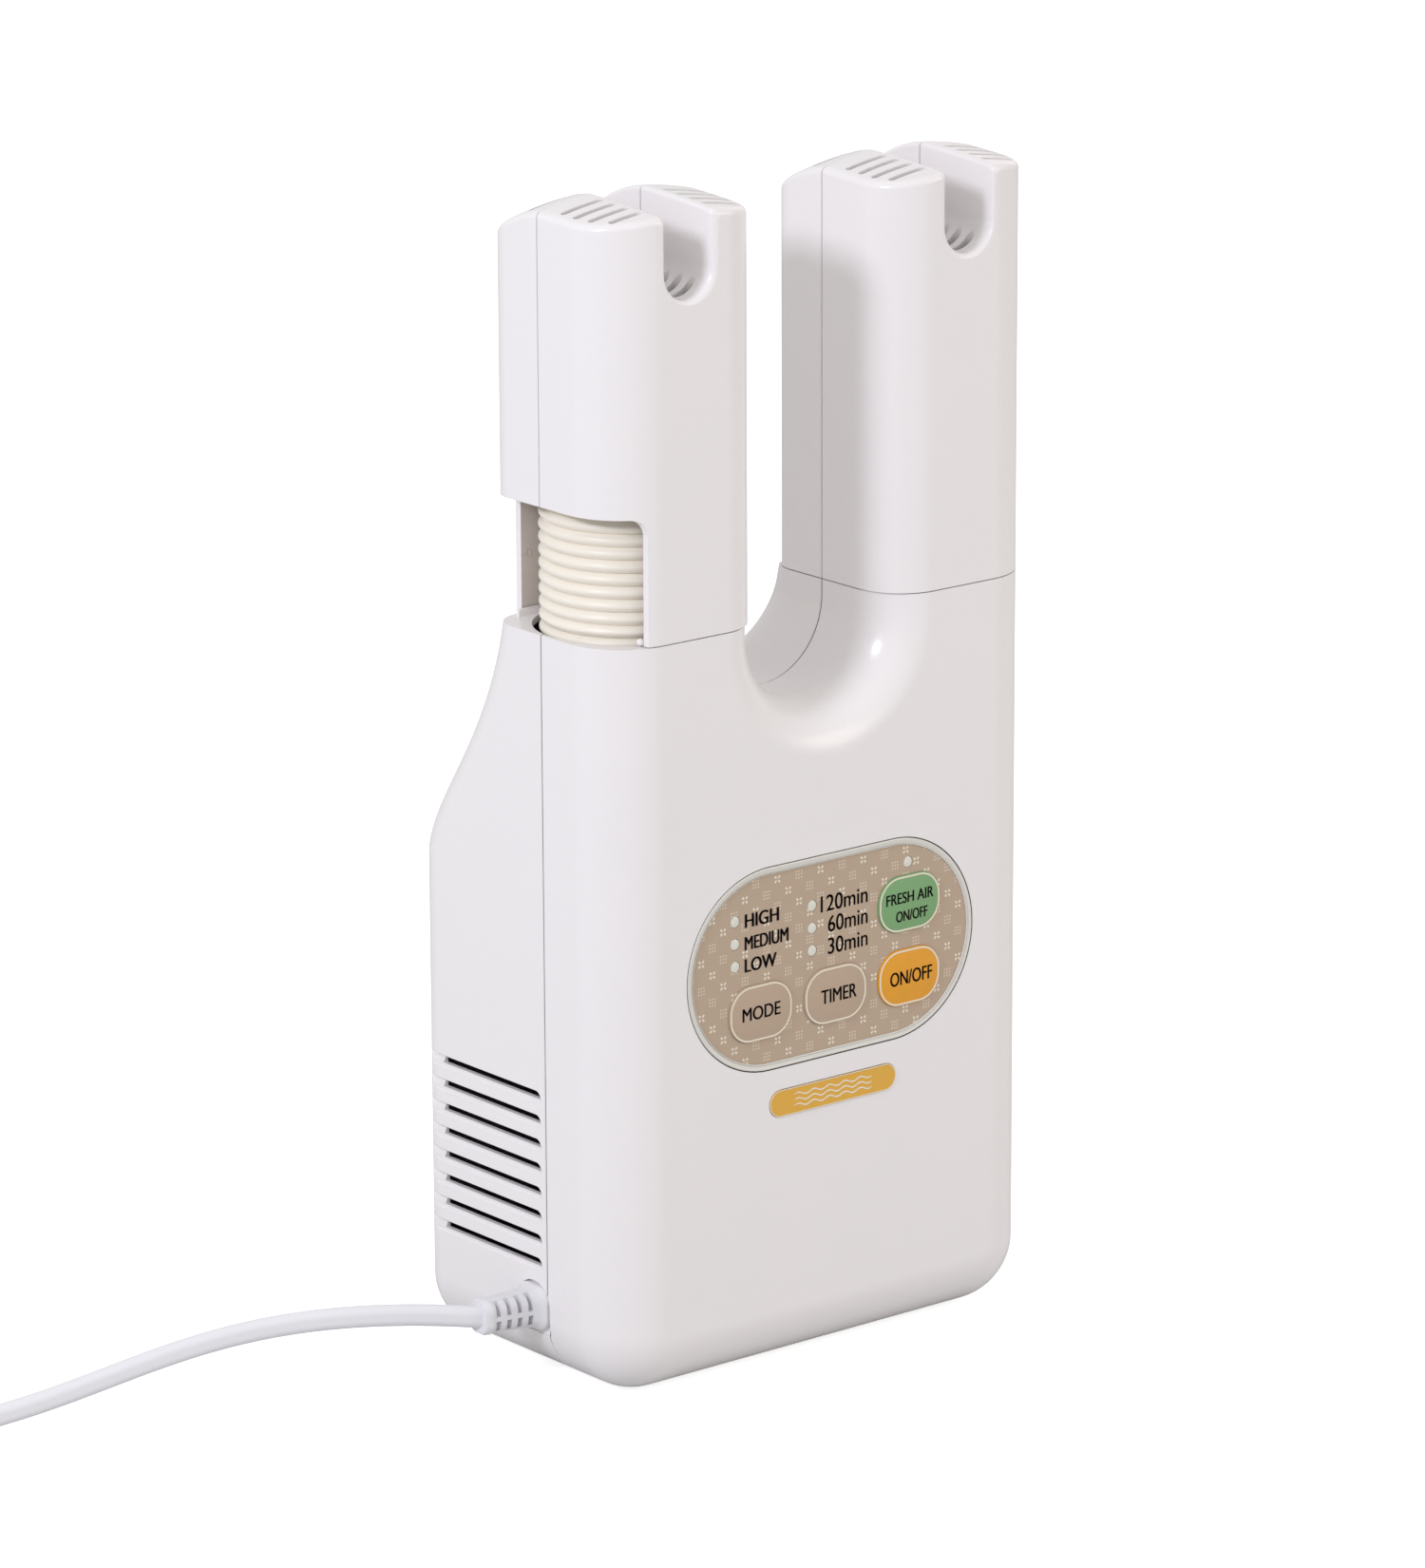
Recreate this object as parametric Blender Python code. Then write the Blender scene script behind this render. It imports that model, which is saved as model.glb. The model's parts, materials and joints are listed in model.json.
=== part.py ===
"""Boot dryer with two telescoping air nozzles, modelled as the separate pieces it is assembled from.

Metres, +Z up. X runs to the right of someone facing the control panel, and the panel faces -Y.
The pieces are drawn with the seam of the case in the plane Y = 0. An empty that carries them all
then brings the middle of the case's flat underside to the origin.
"""

import math

import bmesh
import bpy
from mathutils import Matrix, Vector

# Driving dimensions of the body, in metres.
WIDTH = 0.163
FRONT_Y = -0.0332
TOWER_BACK_Y = 0.0248
BULGE_BACK_Y = 0.0624
BASE_Z = 0.0
MIDDLE_Y = (FRONT_Y + BULGE_BACK_Y) / 2
JOINT_Z = 0.2287
FORK_HALF = 0.02375
FORK_Z = 0.2243
WALL = 0.0022
GAP = 0.0003
CORNER_R = 0.0205
FRONT_EDGE_R = 0.0190
FORK_EDGE_R = 0.0150
BACK_EDGE_R = 0.0110

# Rear face of the case, seen from the side: a curve from the tower down to the bulge.
REAR_CURVE = ((TOWER_BACK_Y, JOINT_Z), (0.033, 0.190), (0.0595, 0.170), (BULGE_BACK_Y, 0.152))
REAR_LEVELS = 4

# Nozzles.
NOZZLE_X = WIDTH / 4 + FORK_HALF / 2
NOZZLE_HALF = WIDTH / 4 - FORK_HALF / 2
NOZZLE_Y = (FRONT_Y + TOWER_BACK_Y) / 2
CROWN_Z = 0.3553
CROWN_SIDE_DROP = 0.0041
CROWN_FRONT_DROP = (0.0012, 0.0012)
CROWN_BACK_DROP = (0.0031, 0.0078)
NOZZLE_BACK_R = 0.0100
NOZZLE_LIP_R = 0.0025
NOTCH_HALF = 0.00875
NOTCH_BOTTOM_Z = 0.328
WINDOW_TOP_Z = 0.2665
TOWER_OPENING_R = 0.0278
TAB_SPAN = (0.0102, 0.0204)
TAB_Y = (0.0209, 0.0222)
TAB_HEIGHT = 0.0021
WINDOW_EDGE_X = 0.0697
WINDOW_CORNER_R = 0.005
NOZZLE_SCREW_Z = 0.300
GRILLE_FRONT_Y = -0.0254
GRILLE_REAR_Y = 0.0065
GRILLE_FRONT_SLOTS = 4
GRILLE_REAR_SLOTS = 2
GRILLE_PITCH = 0.0057
GRILLE_SLOT = 0.0025
GRILLE_MARGIN = 0.0029

# Hoses, with their lower end at rest on the sockets.
HOSE_R = 0.0262
HOSE_BOTTOM_Z = 0.1725
HOSE_TOP_Z = 0.2720
HOSE_RIBS = 10
HOSE_RIB_DEPTH = 0.0018
HOSE_WALL = 0.0009

# Side vents.
LOUVRES = 8
LOUVRE_TOP_Z = 0.0903
LOUVRE_PITCH = 0.00737
LOUVRE_HEIGHT = 0.0024
LOUVRE_FRONT_Y = 0.0022
LOUVRE_BACK_Y = 0.0485

# Control panel.
PANEL_Z = 0.125
PANEL_WIDTH = 0.1090
PANEL_HEIGHT = 0.0617
PANEL_BORDER = 0.0021
PANEL_RECESS = 0.0010
BUTTON_WIDTH = 0.0236
BUTTON_HEIGHT = 0.0172
BUTTON_R = 0.0078
KEY_FLANGE = 0.0009
BUTTONS = {
    "mode_button": (-0.0272, 0.1126),
    "timer_button": (0.0013, 0.1126),
    "power_button": (0.0298, 0.1126),
    "deodorizer_button": (0.0298, 0.1354),
}
LIGHT_R = 0.0017
LIGHT_PITCH = 0.00685
LIGHTS = {
    "mode_light_pipe": [(-0.0365, 0.1279 + i * LIGHT_PITCH) for i in range(3)],
    "timer_light_pipe": [(-0.0073, 0.1274 + i * LIGHT_PITCH) for i in range(3)],
    "deodorizer_light_pipe": [(0.0296, 0.1478)],
}
BADGE_Z = 0.0829
BADGE_WIDTH = 0.0485
BADGE_HEIGHT = 0.0082

# Works inside the case.
FAN_X = 0.003
FAN_Z = 0.062
FAN_R = 0.026
SCROLL_SMALL_R = 0.030
SCROLL_LARGE_R = 0.036
SCROLL_TOP_Z = 0.1035
HOUSING_FRONT_Y = 0.018
HOUSING_BACK_Y = 0.050
BLADES = 12
MOTOR_R = 0.017
MOTOR_FRONT_Y = -0.008
SHAFT_R = 0.0015
SHAFT_LENGTH = 0.058
HEATER_TOP_Z = 0.1175
DUCT_TOP_Z = 0.1685
DUCT_R = 0.0230
BOARD_Y = -0.0263
BOARD_THICKNESS = 0.0016
SCREWS = [(-0.062, 0.021), (0.062, 0.021), (-0.012, 0.183), (0.012, 0.183)]
SCREW_HEAD_Y = 0.0085
FOOT_R = 0.0055
FEET = [(-0.050, -0.0068), (0.050, -0.0068), (-0.050, 0.0440), (0.050, 0.0440)]

# Mains lead.
CORD_Y = 0.0065
CORD_Z = 0.0232
CORD_R = 0.0034
RELIEF_LENGTH = 0.0215
RELIEF_RISE = 0.11
CORD_POINTS = (
    (-0.1034, CORD_Y, 0.0256), (-0.1764, 0.0503, 0.0344),
    (-0.1938, 0.0565, 0.0060), (-0.2516, 0.0764, 0.0037),
)
CORD_STEPS = 12
CORD_FLATNESS = 0.86
RELIEF_FLANGE_HALF = 0.0068
RELIEF_FLANGE_LENGTH = 0.0030
RELIEF_RIBS = 5
RELIEF_RIB_PITCH = 0.0034
RELIEF_RIB_HALF = 0.0056
RELIEF_RIB_DEPTH = 0.0012
RELIEF_TAPER = 0.0003
RELIEF_STUB_R = 0.0039
PLUG_LENGTH = 0.030
PLUG_HALF = 0.0065
BLADE_SIZE = (0.0015, 0.0062)
BLADE_PITCH = 0.0064
BLADE_SPAN = (-0.0045, 0.0165)

MATERIALS = {
    "white_plastic": ((0.80, 0.77, 0.77), 0.28, 0.0),
    "cream_plastic": ((0.86, 0.82, 0.69), 0.45, 0.0),
    "panel_film": ((0.50, 0.40, 0.30), 0.45, 0.0),
    "panel_border": ((0.68, 0.65, 0.61), 0.30, 0.0),
    "key_tan": ((0.46, 0.38, 0.31), 0.42, 0.0),
    "key_green": ((0.20, 0.39, 0.20), 0.42, 0.0),
    "key_orange": ((0.80, 0.40, 0.03), 0.42, 0.0),
    "badge_yellow": ((0.83, 0.49, 0.06), 0.40, 0.0),
    "light_white": ((0.85, 0.84, 0.80), 0.35, 0.0),
    "grey_plastic": ((0.30, 0.30, 0.31), 0.50, 0.0),
    "black_plastic": ((0.02, 0.02, 0.02), 0.50, 0.0),
    "board_green": ((0.02, 0.17, 0.07), 0.50, 0.0),
    "steel": ((0.55, 0.55, 0.56), 0.30, 1.0),
    "copper": ((0.72, 0.38, 0.20), 0.35, 1.0),
    "brass": ((0.75, 0.58, 0.26), 0.30, 1.0),
    "mica": ((0.60, 0.52, 0.38), 0.60, 0.0),
    "rubber": ((0.06, 0.06, 0.06), 0.80, 0.0),
    "lead_white": ((0.78, 0.77, 0.80), 0.40, 0.0),
}


# ---------------------------------------------------------------- helpers


def clear_scene():
    for item in list(bpy.data.objects):
        bpy.data.objects.remove(item, do_unlink=True)


def carrier():
    """The empty that carries every piece and cutter, made the first time it is asked for."""
    found = bpy.data.objects.get("boot_dryer")
    if found:
        return found
    made = bpy.data.objects.new("boot_dryer", None)
    made.location = (0, -MIDDLE_Y, 0)
    bpy.context.scene.collection.objects.link(made)
    return made


def material(name):
    """The Principled material of this name, made the first time it is asked for."""
    found = bpy.data.materials.get(name)
    if found:
        return found
    colour, roughness, metallic = MATERIALS[name]
    made = bpy.data.materials.new(name)
    made.use_nodes = True
    shader = made.node_tree.nodes["Principled BSDF"]
    shader.inputs["Base Color"].default_value = (*colour, 1.0)
    shader.inputs["Roughness"].default_value = roughness
    shader.inputs["Metallic"].default_value = metallic
    return made


def is_flat(face):
    """Whether all the corners of a face lie in one plane."""
    middle = face.calc_center_median()
    return all(abs(face.normal.dot(corner.co - middle)) < 1e-7 for corner in face.verts)


def add_object(name, mesh_data, finish=None):
    """Closes off a bmesh as a named object; without a finish it is a hidden cutter."""
    bmesh.ops.remove_doubles(mesh_data, verts=mesh_data.verts, dist=1e-6)
    bmesh.ops.recalc_face_normals(mesh_data, faces=mesh_data.faces)
    bmesh.ops.triangulate(mesh_data, faces=[face for face in mesh_data.faces if not is_flat(face)])
    mesh = bpy.data.meshes.new(name)
    mesh_data.to_mesh(mesh)
    mesh_data.free()
    made = bpy.data.objects.new(name, mesh)
    bpy.context.scene.collection.objects.link(made)
    made.parent = carrier()
    if finish:
        mesh.materials.append(material(finish))
        mesh.shade_smooth()
        mesh.set_sharp_from_angle(angle=math.radians(35))
    else:
        made.hide_render = True
        made.display_type = "WIRE"
    return made


def boolean(target, other, operation="DIFFERENCE"):
    modifier = target.modifiers.new(other.name, "BOOLEAN")
    modifier.object = other
    modifier.operation = operation
    return target


def carve(shell, other, operation="DIFFERENCE"):
    """A Boolean on a moulded shell, where the exact solver leaves open edges after many cuts."""
    boolean(shell, other, operation).modifiers[-1].solver = "MANIFOLD"


def arc(centre, radii, start, end, steps):
    """Points on an elliptical arc, both ends included; angles are in degrees."""
    points = []
    for i in range(steps + 1):
        angle = math.radians(start + (end - start) * i / steps)
        points.append((centre[0] + radii[0] * math.cos(angle), centre[1] + radii[1] * math.sin(angle)))
    return points


def bezier(ends, t):
    """A point on the cubic curve with these four control points."""
    a, b, c, d = (Vector(p) for p in ends)
    s = 1 - t
    return a * s**3 + b * 3 * s * s * t + c * 3 * s * t * t + d * t**3


def loft(name, loops, finish=None):
    """A solid skinned over loops of equal length, closed by its first and last loop."""
    data = bmesh.new()
    rings = [[data.verts.new(point) for point in loop] for loop in loops]
    count = len(rings[0])
    for low, high in zip(rings, rings[1:]):
        for i in range(count):
            j = (i + 1) % count
            data.faces.new((low[i], low[j], high[j], high[i]))
    data.faces.new(rings[0])
    data.faces.new(rings[-1])
    return add_object(name, data, finish)


def upright(outline, low, high, name, finish=None):
    """A prism on an outline of (x, y) points, between two heights."""
    return loft(name, [[(x, y, z) for x, y in outline] for z in (low, high)], finish)


def facing(outline, front, back, name, finish=None):
    """A prism on an outline of (x, z) points, between two depths along Y."""
    return loft(name, [[(x, y, z) for x, z in outline] for y in (front, back)], finish)


def box(name, low, high, finish=None):
    corners = [(low[0], low[1]), (high[0], low[1]), (high[0], high[1]), (low[0], high[1])]
    return upright(corners, low[2], high[2], name, finish)


def circle(centre, radius, sides=16):
    return arc(centre, (radius, radius), 0, 360 - 360 / sides, sides - 1)


def rounded_rectangle(centre, width, height, radius, steps=5):
    across, up = width / 2 - radius, height / 2 - radius
    points = []
    for start, sx, sy in ((0, 1, 1), (90, -1, 1), (180, -1, -1), (270, 1, -1)):
        corner = (centre[0] + sx * across, centre[1] + sy * up)
        points += arc(corner, (radius, radius), start, start + 90, steps)
    return points


def turned(name, profile, centre, axis, finish=None, sides=20):
    """A ring or a disc turned from (radius, height) points that close on themselves."""
    data = bmesh.new()
    turn = Vector((0, 0, 1)).rotation_difference(Vector(axis)).to_matrix().to_4x4()
    place = Matrix.Translation(centre) @ turn
    rings = []
    for i in range(sides):
        angle = 2 * math.pi * i / sides
        rings.append([
            data.verts.new(place @ Vector((r * math.cos(angle), r * math.sin(angle), h)))
            for r, h in profile
        ])
    count = len(profile)
    for i in range(sides):
        near, far = rings[i], rings[(i + 1) % sides]
        for k in range(count):
            m = (k + 1) % count
            if profile[k][0] == 0 and profile[m][0] == 0:
                continue
            corners = dict.fromkeys((near[k], far[k], far[m], near[m]))
            data.faces.new(list(corners))
    bmesh.ops.remove_doubles(data, verts=data.verts, dist=1e-6)
    return add_object(name, data, finish)


def cylinder(name, centre, axis, radius, length, finish=None, sides=20):
    return turned(name, [(0, 0), (radius, 0), (radius, length), (0, length)], centre, axis, finish, sides)


def tube(name, centre, axis, inner, outer, length, finish=None, sides=20):
    profile = [(inner, 0), (outer, 0), (outer, length), (inner, length)]
    return turned(name, profile, centre, axis, finish, sides)


# ---------------------------------------------------------------- body shells


def rear_offset(z):
    """How far the rear face stands behind the tower's back at a height."""
    if z >= REAR_CURVE[0][1]:
        return 0.0
    if z <= REAR_CURVE[3][1]:
        return BULGE_BACK_Y - TOWER_BACK_Y
    low, high = 0.0, 1.0
    for _ in range(40):
        middle = (low + high) / 2
        if bezier(REAR_CURVE, middle).y > z:
            low = middle
        else:
            high = middle
    return bezier(REAR_CURVE, low).x - TOWER_BACK_Y


def body_outline(side_inset, fork_inset, base_inset, top_z):
    """Front-view outline of the body as (x, z) points, pulled in from sides, fork and base."""
    half = WIDTH / 2 - side_inset
    base = BASE_Z + base_inset
    radii = (max(CORNER_R - side_inset, 0.001), max(CORNER_R - base_inset, 0.001))
    fork = FORK_HALF + fork_inset
    right = arc((half - radii[0], base + radii[1]), radii, -90, 0, 3)
    right += [(half, top_z), (fork, top_z)]
    right += arc((0, FORK_Z), (fork, fork), 0, -90, 6)
    return right + [(-x, z) for x, z in reversed(right[:-1])]


def body_half(name, seam_y, end_y, side_r, fork_r, wall, top_z, finish=None):
    """One half of the body's outer or inner form, its far edge rounded over."""
    toward = 1 if end_y > seam_y else -1
    loops = [(seam_y, 0.0, 0.0)]
    steps = 3
    for i in range(steps + 1):
        angle = math.radians(90 * i / steps)
        ease = 1 - math.cos(angle)
        y = end_y - toward * side_r * (1 - math.sin(angle))
        loops.append((y, side_r * ease, fork_r * ease))
    rings = []
    for y, side, fork in loops:
        outline = body_outline(side + wall, fork + wall, side + wall, top_z)
        rings.append([(x, y, z) for x, z in outline])
    return loft(name, rings, finish)


def lean_back(item):
    """Pushes the far edge of a rear half out to the curve of the rear face."""
    data = bmesh.new()
    data.from_mesh(item.data)
    low, high = REAR_CURVE[3][1], REAR_CURVE[0][1]
    for i in range(REAR_LEVELS + 1):
        level = low + (high - low) * (i / REAR_LEVELS)
        geometry = data.verts[:] + data.edges[:] + data.faces[:]
        bmesh.ops.bisect_plane(data, geom=geometry, plane_co=(0, 0, level), plane_no=(0, 0, 1), dist=1e-7)
    for vertex in data.verts:
        if vertex.co.y > TOWER_BACK_Y / 3:
            vertex.co.y += rear_offset(vertex.co.z)
    data.normal_update()
    bmesh.ops.triangulate(data, faces=[face for face in data.faces if not is_flat(face)])
    data.to_mesh(item.data)
    data.free()


def tower_openings():
    """Cutters for the round opening in the top of each tower, just wider than its hose."""
    cutters = []
    for side in (-1, 1):
        low = (side * NOZZLE_X, NOZZLE_Y, JOINT_Z - WALL - 0.0004)
        cutters.append(cylinder(f"tower_opening_{side}", low, (0, 0, 1), TOWER_OPENING_R, 0.01, sides=32))
    return cutters


def add_guide_tabs(case):
    """Tabs that stand up behind each hose and centre the nozzle's rear wall."""
    for side in (-1, 1):
        for near, far in (TAB_SPAN, (-TAB_SPAN[1], -TAB_SPAN[0])):
            ends = sorted((side * (NOZZLE_X + near), side * (NOZZLE_X + far)))
            low = (ends[0], TAB_Y[0], JOINT_Z - WALL / 2)
            high = (ends[1], TAB_Y[1], JOINT_Z + TAB_HEIGHT)
            carve(case, box(f"guide_tab_{side}_{near}", low, high), "UNION")


def make_front_case():
    case = body_half(
        "front_case", -GAP / 2, FRONT_Y, FRONT_EDGE_R, FORK_EDGE_R, 0, JOINT_Z, "white_plastic"
    )
    hollow = body_half(
        "front_hollow", 0.004, FRONT_Y + WALL,
        FRONT_EDGE_R - WALL, FORK_EDGE_R - WALL, WALL, JOINT_Z - WALL,
    )
    carve(case, hollow)
    for x, z in SCREWS:
        add_front_post(case, x, z)
    for hole in tower_openings():
        carve(case, hole)
    width, height = PANEL_WIDTH + 2 * GAP, PANEL_HEIGHT + 2 * GAP
    recess = rounded_rectangle((0, PANEL_Z), width, height, PANEL_HEIGHT / 2, 8)
    carve(case, facing(recess, FRONT_Y - 0.01, FRONT_Y + PANEL_RECESS, "panel_recess"))
    width, height = BADGE_WIDTH + 2 * GAP, BADGE_HEIGHT + 2 * GAP
    label = rounded_rectangle((0.0005, BADGE_Z), width, height, BADGE_HEIGHT / 2, 5)
    carve(case, facing(label, FRONT_Y - 0.01, FRONT_Y + 0.0006, "badge_recess"))
    cut_panel_holes(case, FRONT_Y - 0.005, FRONT_Y + 0.01)
    for x, y in FEET[:2]:
        carve(case, foot_recess(x, y))
    return case


def foot_recess(x, y):
    return cylinder(f"foot_recess_{x}_{y}", (x, y, -0.01), (0, 0, 1), FOOT_R + GAP, 0.0112, sides=12)


def add_front_post(target, x, z):
    """A post from the front wall to the seam, with a pilot hole for the screw."""
    name = f"{target.name}_post_{x:.3f}_{z:.3f}"
    near = FRONT_Y + WALL / 2
    carve(target, cylinder(name, (x, near, z), (0, 1, 0), 0.0038, -GAP / 2 - near, sides=12), "UNION")
    carve(target, cylinder(f"{name}_pilot", (x, -0.015, z), (0, 1, 0), 0.0015, 0.02, sides=12))


def add_rear_post(target, x, z, back_y):
    """A post from the seam to the back wall, bored for the screw and welled for its head."""
    name = f"{target.name}_post_{x:.3f}_{z:.3f}"
    carve(target, cylinder(name, (x, GAP / 2, z), (0, 1, 0), 0.0050, back_y - GAP / 2, sides=16), "UNION")
    carve(target, cylinder(f"{name}_well", (x, SCREW_HEAD_Y, z), (0, 1, 0), 0.0034, 0.08, sides=12))
    carve(target, cylinder(f"{name}_bore", (x, -0.01, z), (0, 1, 0), 0.0018, 0.03, sides=12))


def cut_panel_holes(target, front, back):
    """Openings for the buttons and the indicator lights."""
    width, height = BUTTON_WIDTH + 2 * GAP, BUTTON_HEIGHT + 2 * GAP
    for name, (x, z) in BUTTONS.items():
        outline = rounded_rectangle((x, z), width, height, BUTTON_R + GAP, 3)
        carve(target, facing(outline, front, back, f"{target.name}_{name}_hole"))
    for name, places in LIGHTS.items():
        for i, (x, z) in enumerate(places):
            hole = facing(circle((x, z), LIGHT_R + GAP, 8), front, back, f"{target.name}_{name}_hole_{i}")
            carve(target, hole)


def make_rear_case():
    case = body_half("rear_case", GAP / 2, TOWER_BACK_Y, BACK_EDGE_R, 0.006, 0, JOINT_Z, "white_plastic")
    hollow = body_half(
        "rear_hollow", -0.004, TOWER_BACK_Y - WALL, BACK_EDGE_R - WALL, 0.006 - WALL, WALL, JOINT_Z - WALL
    )
    lean_back(case)
    lean_back(hollow)
    carve(case, hollow)
    for x, z in SCREWS:
        add_rear_post(case, x, z, TOWER_BACK_Y + rear_offset(z + 0.006) - WALL / 2)
    for hole in tower_openings():
        carve(case, hole)
    add_guide_tabs(case)
    carve(case, louvre_cutter())
    carve(case, cylinder("cord_hole", (-0.09, CORD_Y, CORD_Z), (1, 0, 0), 0.0042, 0.02, sides=16))
    for x, y in FEET[2:]:
        carve(case, foot_recess(x, y))
    return case


def louvre_cutter():
    """All the side vents in one mesh of separate slots, sloping up into the case."""
    data = bmesh.new()
    rise = 0.0012
    for side in (-1, 1):
        for i in range(LOUVRES):
            top = LOUVRE_TOP_Z - i * LOUVRE_PITCH
            outer, inner = side * (WIDTH / 2 + 0.002), side * (WIDTH / 2 - 0.006)
            corners = []
            for x, lift in ((outer, 0.0), (inner, rise)):
                for y, z in (
                    (LOUVRE_FRONT_Y, top - LOUVRE_HEIGHT), (LOUVRE_BACK_Y, top - LOUVRE_HEIGHT),
                    (LOUVRE_BACK_Y, top), (LOUVRE_FRONT_Y, top),
                ):
                    corners.append(data.verts.new((x, y, z + lift)))
            data.faces.new(corners[:4])
            data.faces.new(corners[4:])
            for k in range(4):
                m = (k + 1) % 4
                data.faces.new((corners[k], corners[m], corners[4 + m], corners[4 + k]))
    return add_object("louvre_slots", data)


# ---------------------------------------------------------------- nozzles and hoses


def nozzle_outline(side, inset, steps):
    """Plan outline of a nozzle as (x, y) points; side is -1 for the left one."""
    low, high = FRONT_Y + inset, TOWER_BACK_Y - inset
    outer, inner = WIDTH / 2 - inset, FORK_HALF + inset
    front_outer, front_inner, back = FRONT_EDGE_R - inset, FORK_EDGE_R - inset, NOZZLE_BACK_R - inset
    points = arc((outer - front_outer, low + front_outer), (front_outer, front_outer), -90, 0, steps)
    points += arc((outer - back, high - back), (back, back), 0, 90, steps)
    points += arc((inner + back, high - back), (back, back), 90, 180, steps)
    points += arc((inner + front_inner, low + front_inner), (front_inner, front_inner), 180, 270, steps)
    return [(side * x, y) for x, y in points]


def crown(x, y):
    """Height of the nozzle's domed top."""
    across = (abs(x) - NOZZLE_X) / NOZZLE_HALF
    along = y / FRONT_Y if y < 0 else y / TOWER_BACK_Y
    drop = CROWN_FRONT_DROP if y < 0 else CROWN_BACK_DROP
    return CROWN_Z - CROWN_SIDE_DROP * across**2 - drop[0] * along - drop[1] * along**2


def keep_half(item, seam_y, front):
    """Cuts a closed form at the seam, keeps its front or its rear half and closes the cut."""
    data = bmesh.new()
    data.from_mesh(item.data)
    cut = bmesh.ops.bisect_plane(
        data, geom=data.verts[:] + data.edges[:] + data.faces[:], dist=1e-7, plane_co=(0, seam_y, 0),
        plane_no=(0, 1, 0), clear_outer=front, clear_inner=not front,
    )
    rim = [piece for piece in cut["geom_cut"] if isinstance(piece, bmesh.types.BMEdge)]
    bmesh.ops.contextual_create(data, geom=rim)
    bmesh.ops.recalc_face_normals(data, faces=data.faces)
    data.to_mesh(item.data)
    data.free()


def nozzle_form(name, side, inset, bottom_z, finish=None):
    """The nozzle's closed outer or inner form, with its domed top and rounded lip."""
    outline = nozzle_outline(side, inset, 3)
    centre = Vector((side * NOZZLE_X, NOZZLE_Y))
    lip = max(NOZZLE_LIP_R - inset, 0.0008)
    rings = [[(x, y, bottom_z) for x, y in outline]]
    for angle in (0, 45, 90):
        turn = math.radians(angle)
        pull, drop = lip * (1 - math.cos(turn)), lip * (1 - math.sin(turn))
        rings.append(crown_ring(outline, centre, pull, inset + drop))
    for share in (0.75, 0.4, 0.08):
        shrunk = [centre.lerp(Vector(point), share) for point in outline]
        rings.append([(x, y, crown(x, y) - inset) for x, y in shrunk])
    return loft(name, rings, finish)


def crown_ring(outline, centre, pull, drop):
    """The outline pulled towards its centre by a distance and lifted to the domed top."""
    ring = []
    for x, y in outline:
        outward = Vector((x, y)) - centre
        place = centre + outward * (1 - pull / outward.length)
        ring.append((place.x, place.y, crown(place.x, place.y) - drop))
    return ring


def notch_outline(side, grow):
    """The U of the notch, open at the top, as (x, z) points."""
    half = NOTCH_HALF + grow
    bottom = NOTCH_BOTTOM_Z + NOTCH_HALF
    points = arc((side * NOZZLE_X, bottom), (half, half), 180, 360, 8)
    return points + [(side * NOZZLE_X + half, 0.38), (side * NOZZLE_X - half, 0.38)]


def grille_reach(y, corner_r):
    """How far from the nozzle's middle a grille slot reaches, staying inside a front corner."""
    inward = FRONT_Y + corner_r - y
    if inward <= 0:
        return NOZZLE_HALF - GRILLE_MARGIN
    return NOZZLE_HALF - corner_r + math.sqrt(corner_r**2 - inward**2) - GRILLE_MARGIN


def grille_cutter(side):
    """Slots across both prong tops and the floor of the notch, in one mesh of separate slots."""
    data = bmesh.new()
    prong = NOTCH_HALF + WALL + GAP
    floor = NOTCH_HALF - WALL
    top_span = (CROWN_Z - 0.008, CROWN_Z + 0.01)
    floor_span = (NOTCH_BOTTOM_Z - 0.004, NOTCH_BOTTOM_Z + 0.008)
    depths = [GRILLE_FRONT_Y + i * GRILLE_PITCH for i in range(GRILLE_FRONT_SLOTS)]
    depths += [GRILLE_REAR_Y + i * GRILLE_PITCH for i in range(GRILLE_REAR_SLOTS)]
    for y in depths:
        inner_end = -grille_reach(y, FORK_EDGE_R)
        outer_end = grille_reach(y, FRONT_EDGE_R)
        for low, high, span in (
            (inner_end, -prong, top_span), (prong, outer_end, top_span), (-floor, floor, floor_span),
        ):
            size = (high - low, GRILLE_SLOT, span[1] - span[0])
            middle = (side * (NOZZLE_X + (low + high) / 2), y, (span[0] + span[1]) / 2)
            place = Matrix.Translation(middle) @ Matrix.Diagonal((*size, 1))
            bmesh.ops.create_cube(data, size=1, matrix=place)
    return add_object(f"grille_slots_{side}", data)


def window_outline(side):
    """The opening low on the left nozzle's outer side that shows the hose, as (x, z) points."""
    edge, r = WINDOW_EDGE_X, WINDOW_CORNER_R
    points = [(0.1, 0.2), (edge, 0.2)]
    points += arc((edge + r, WINDOW_TOP_Z - r), (r, r), 180, 90, 4)
    points += [(0.1, WINDOW_TOP_Z)]
    return [(side * x, z) for x, z in points]


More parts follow.
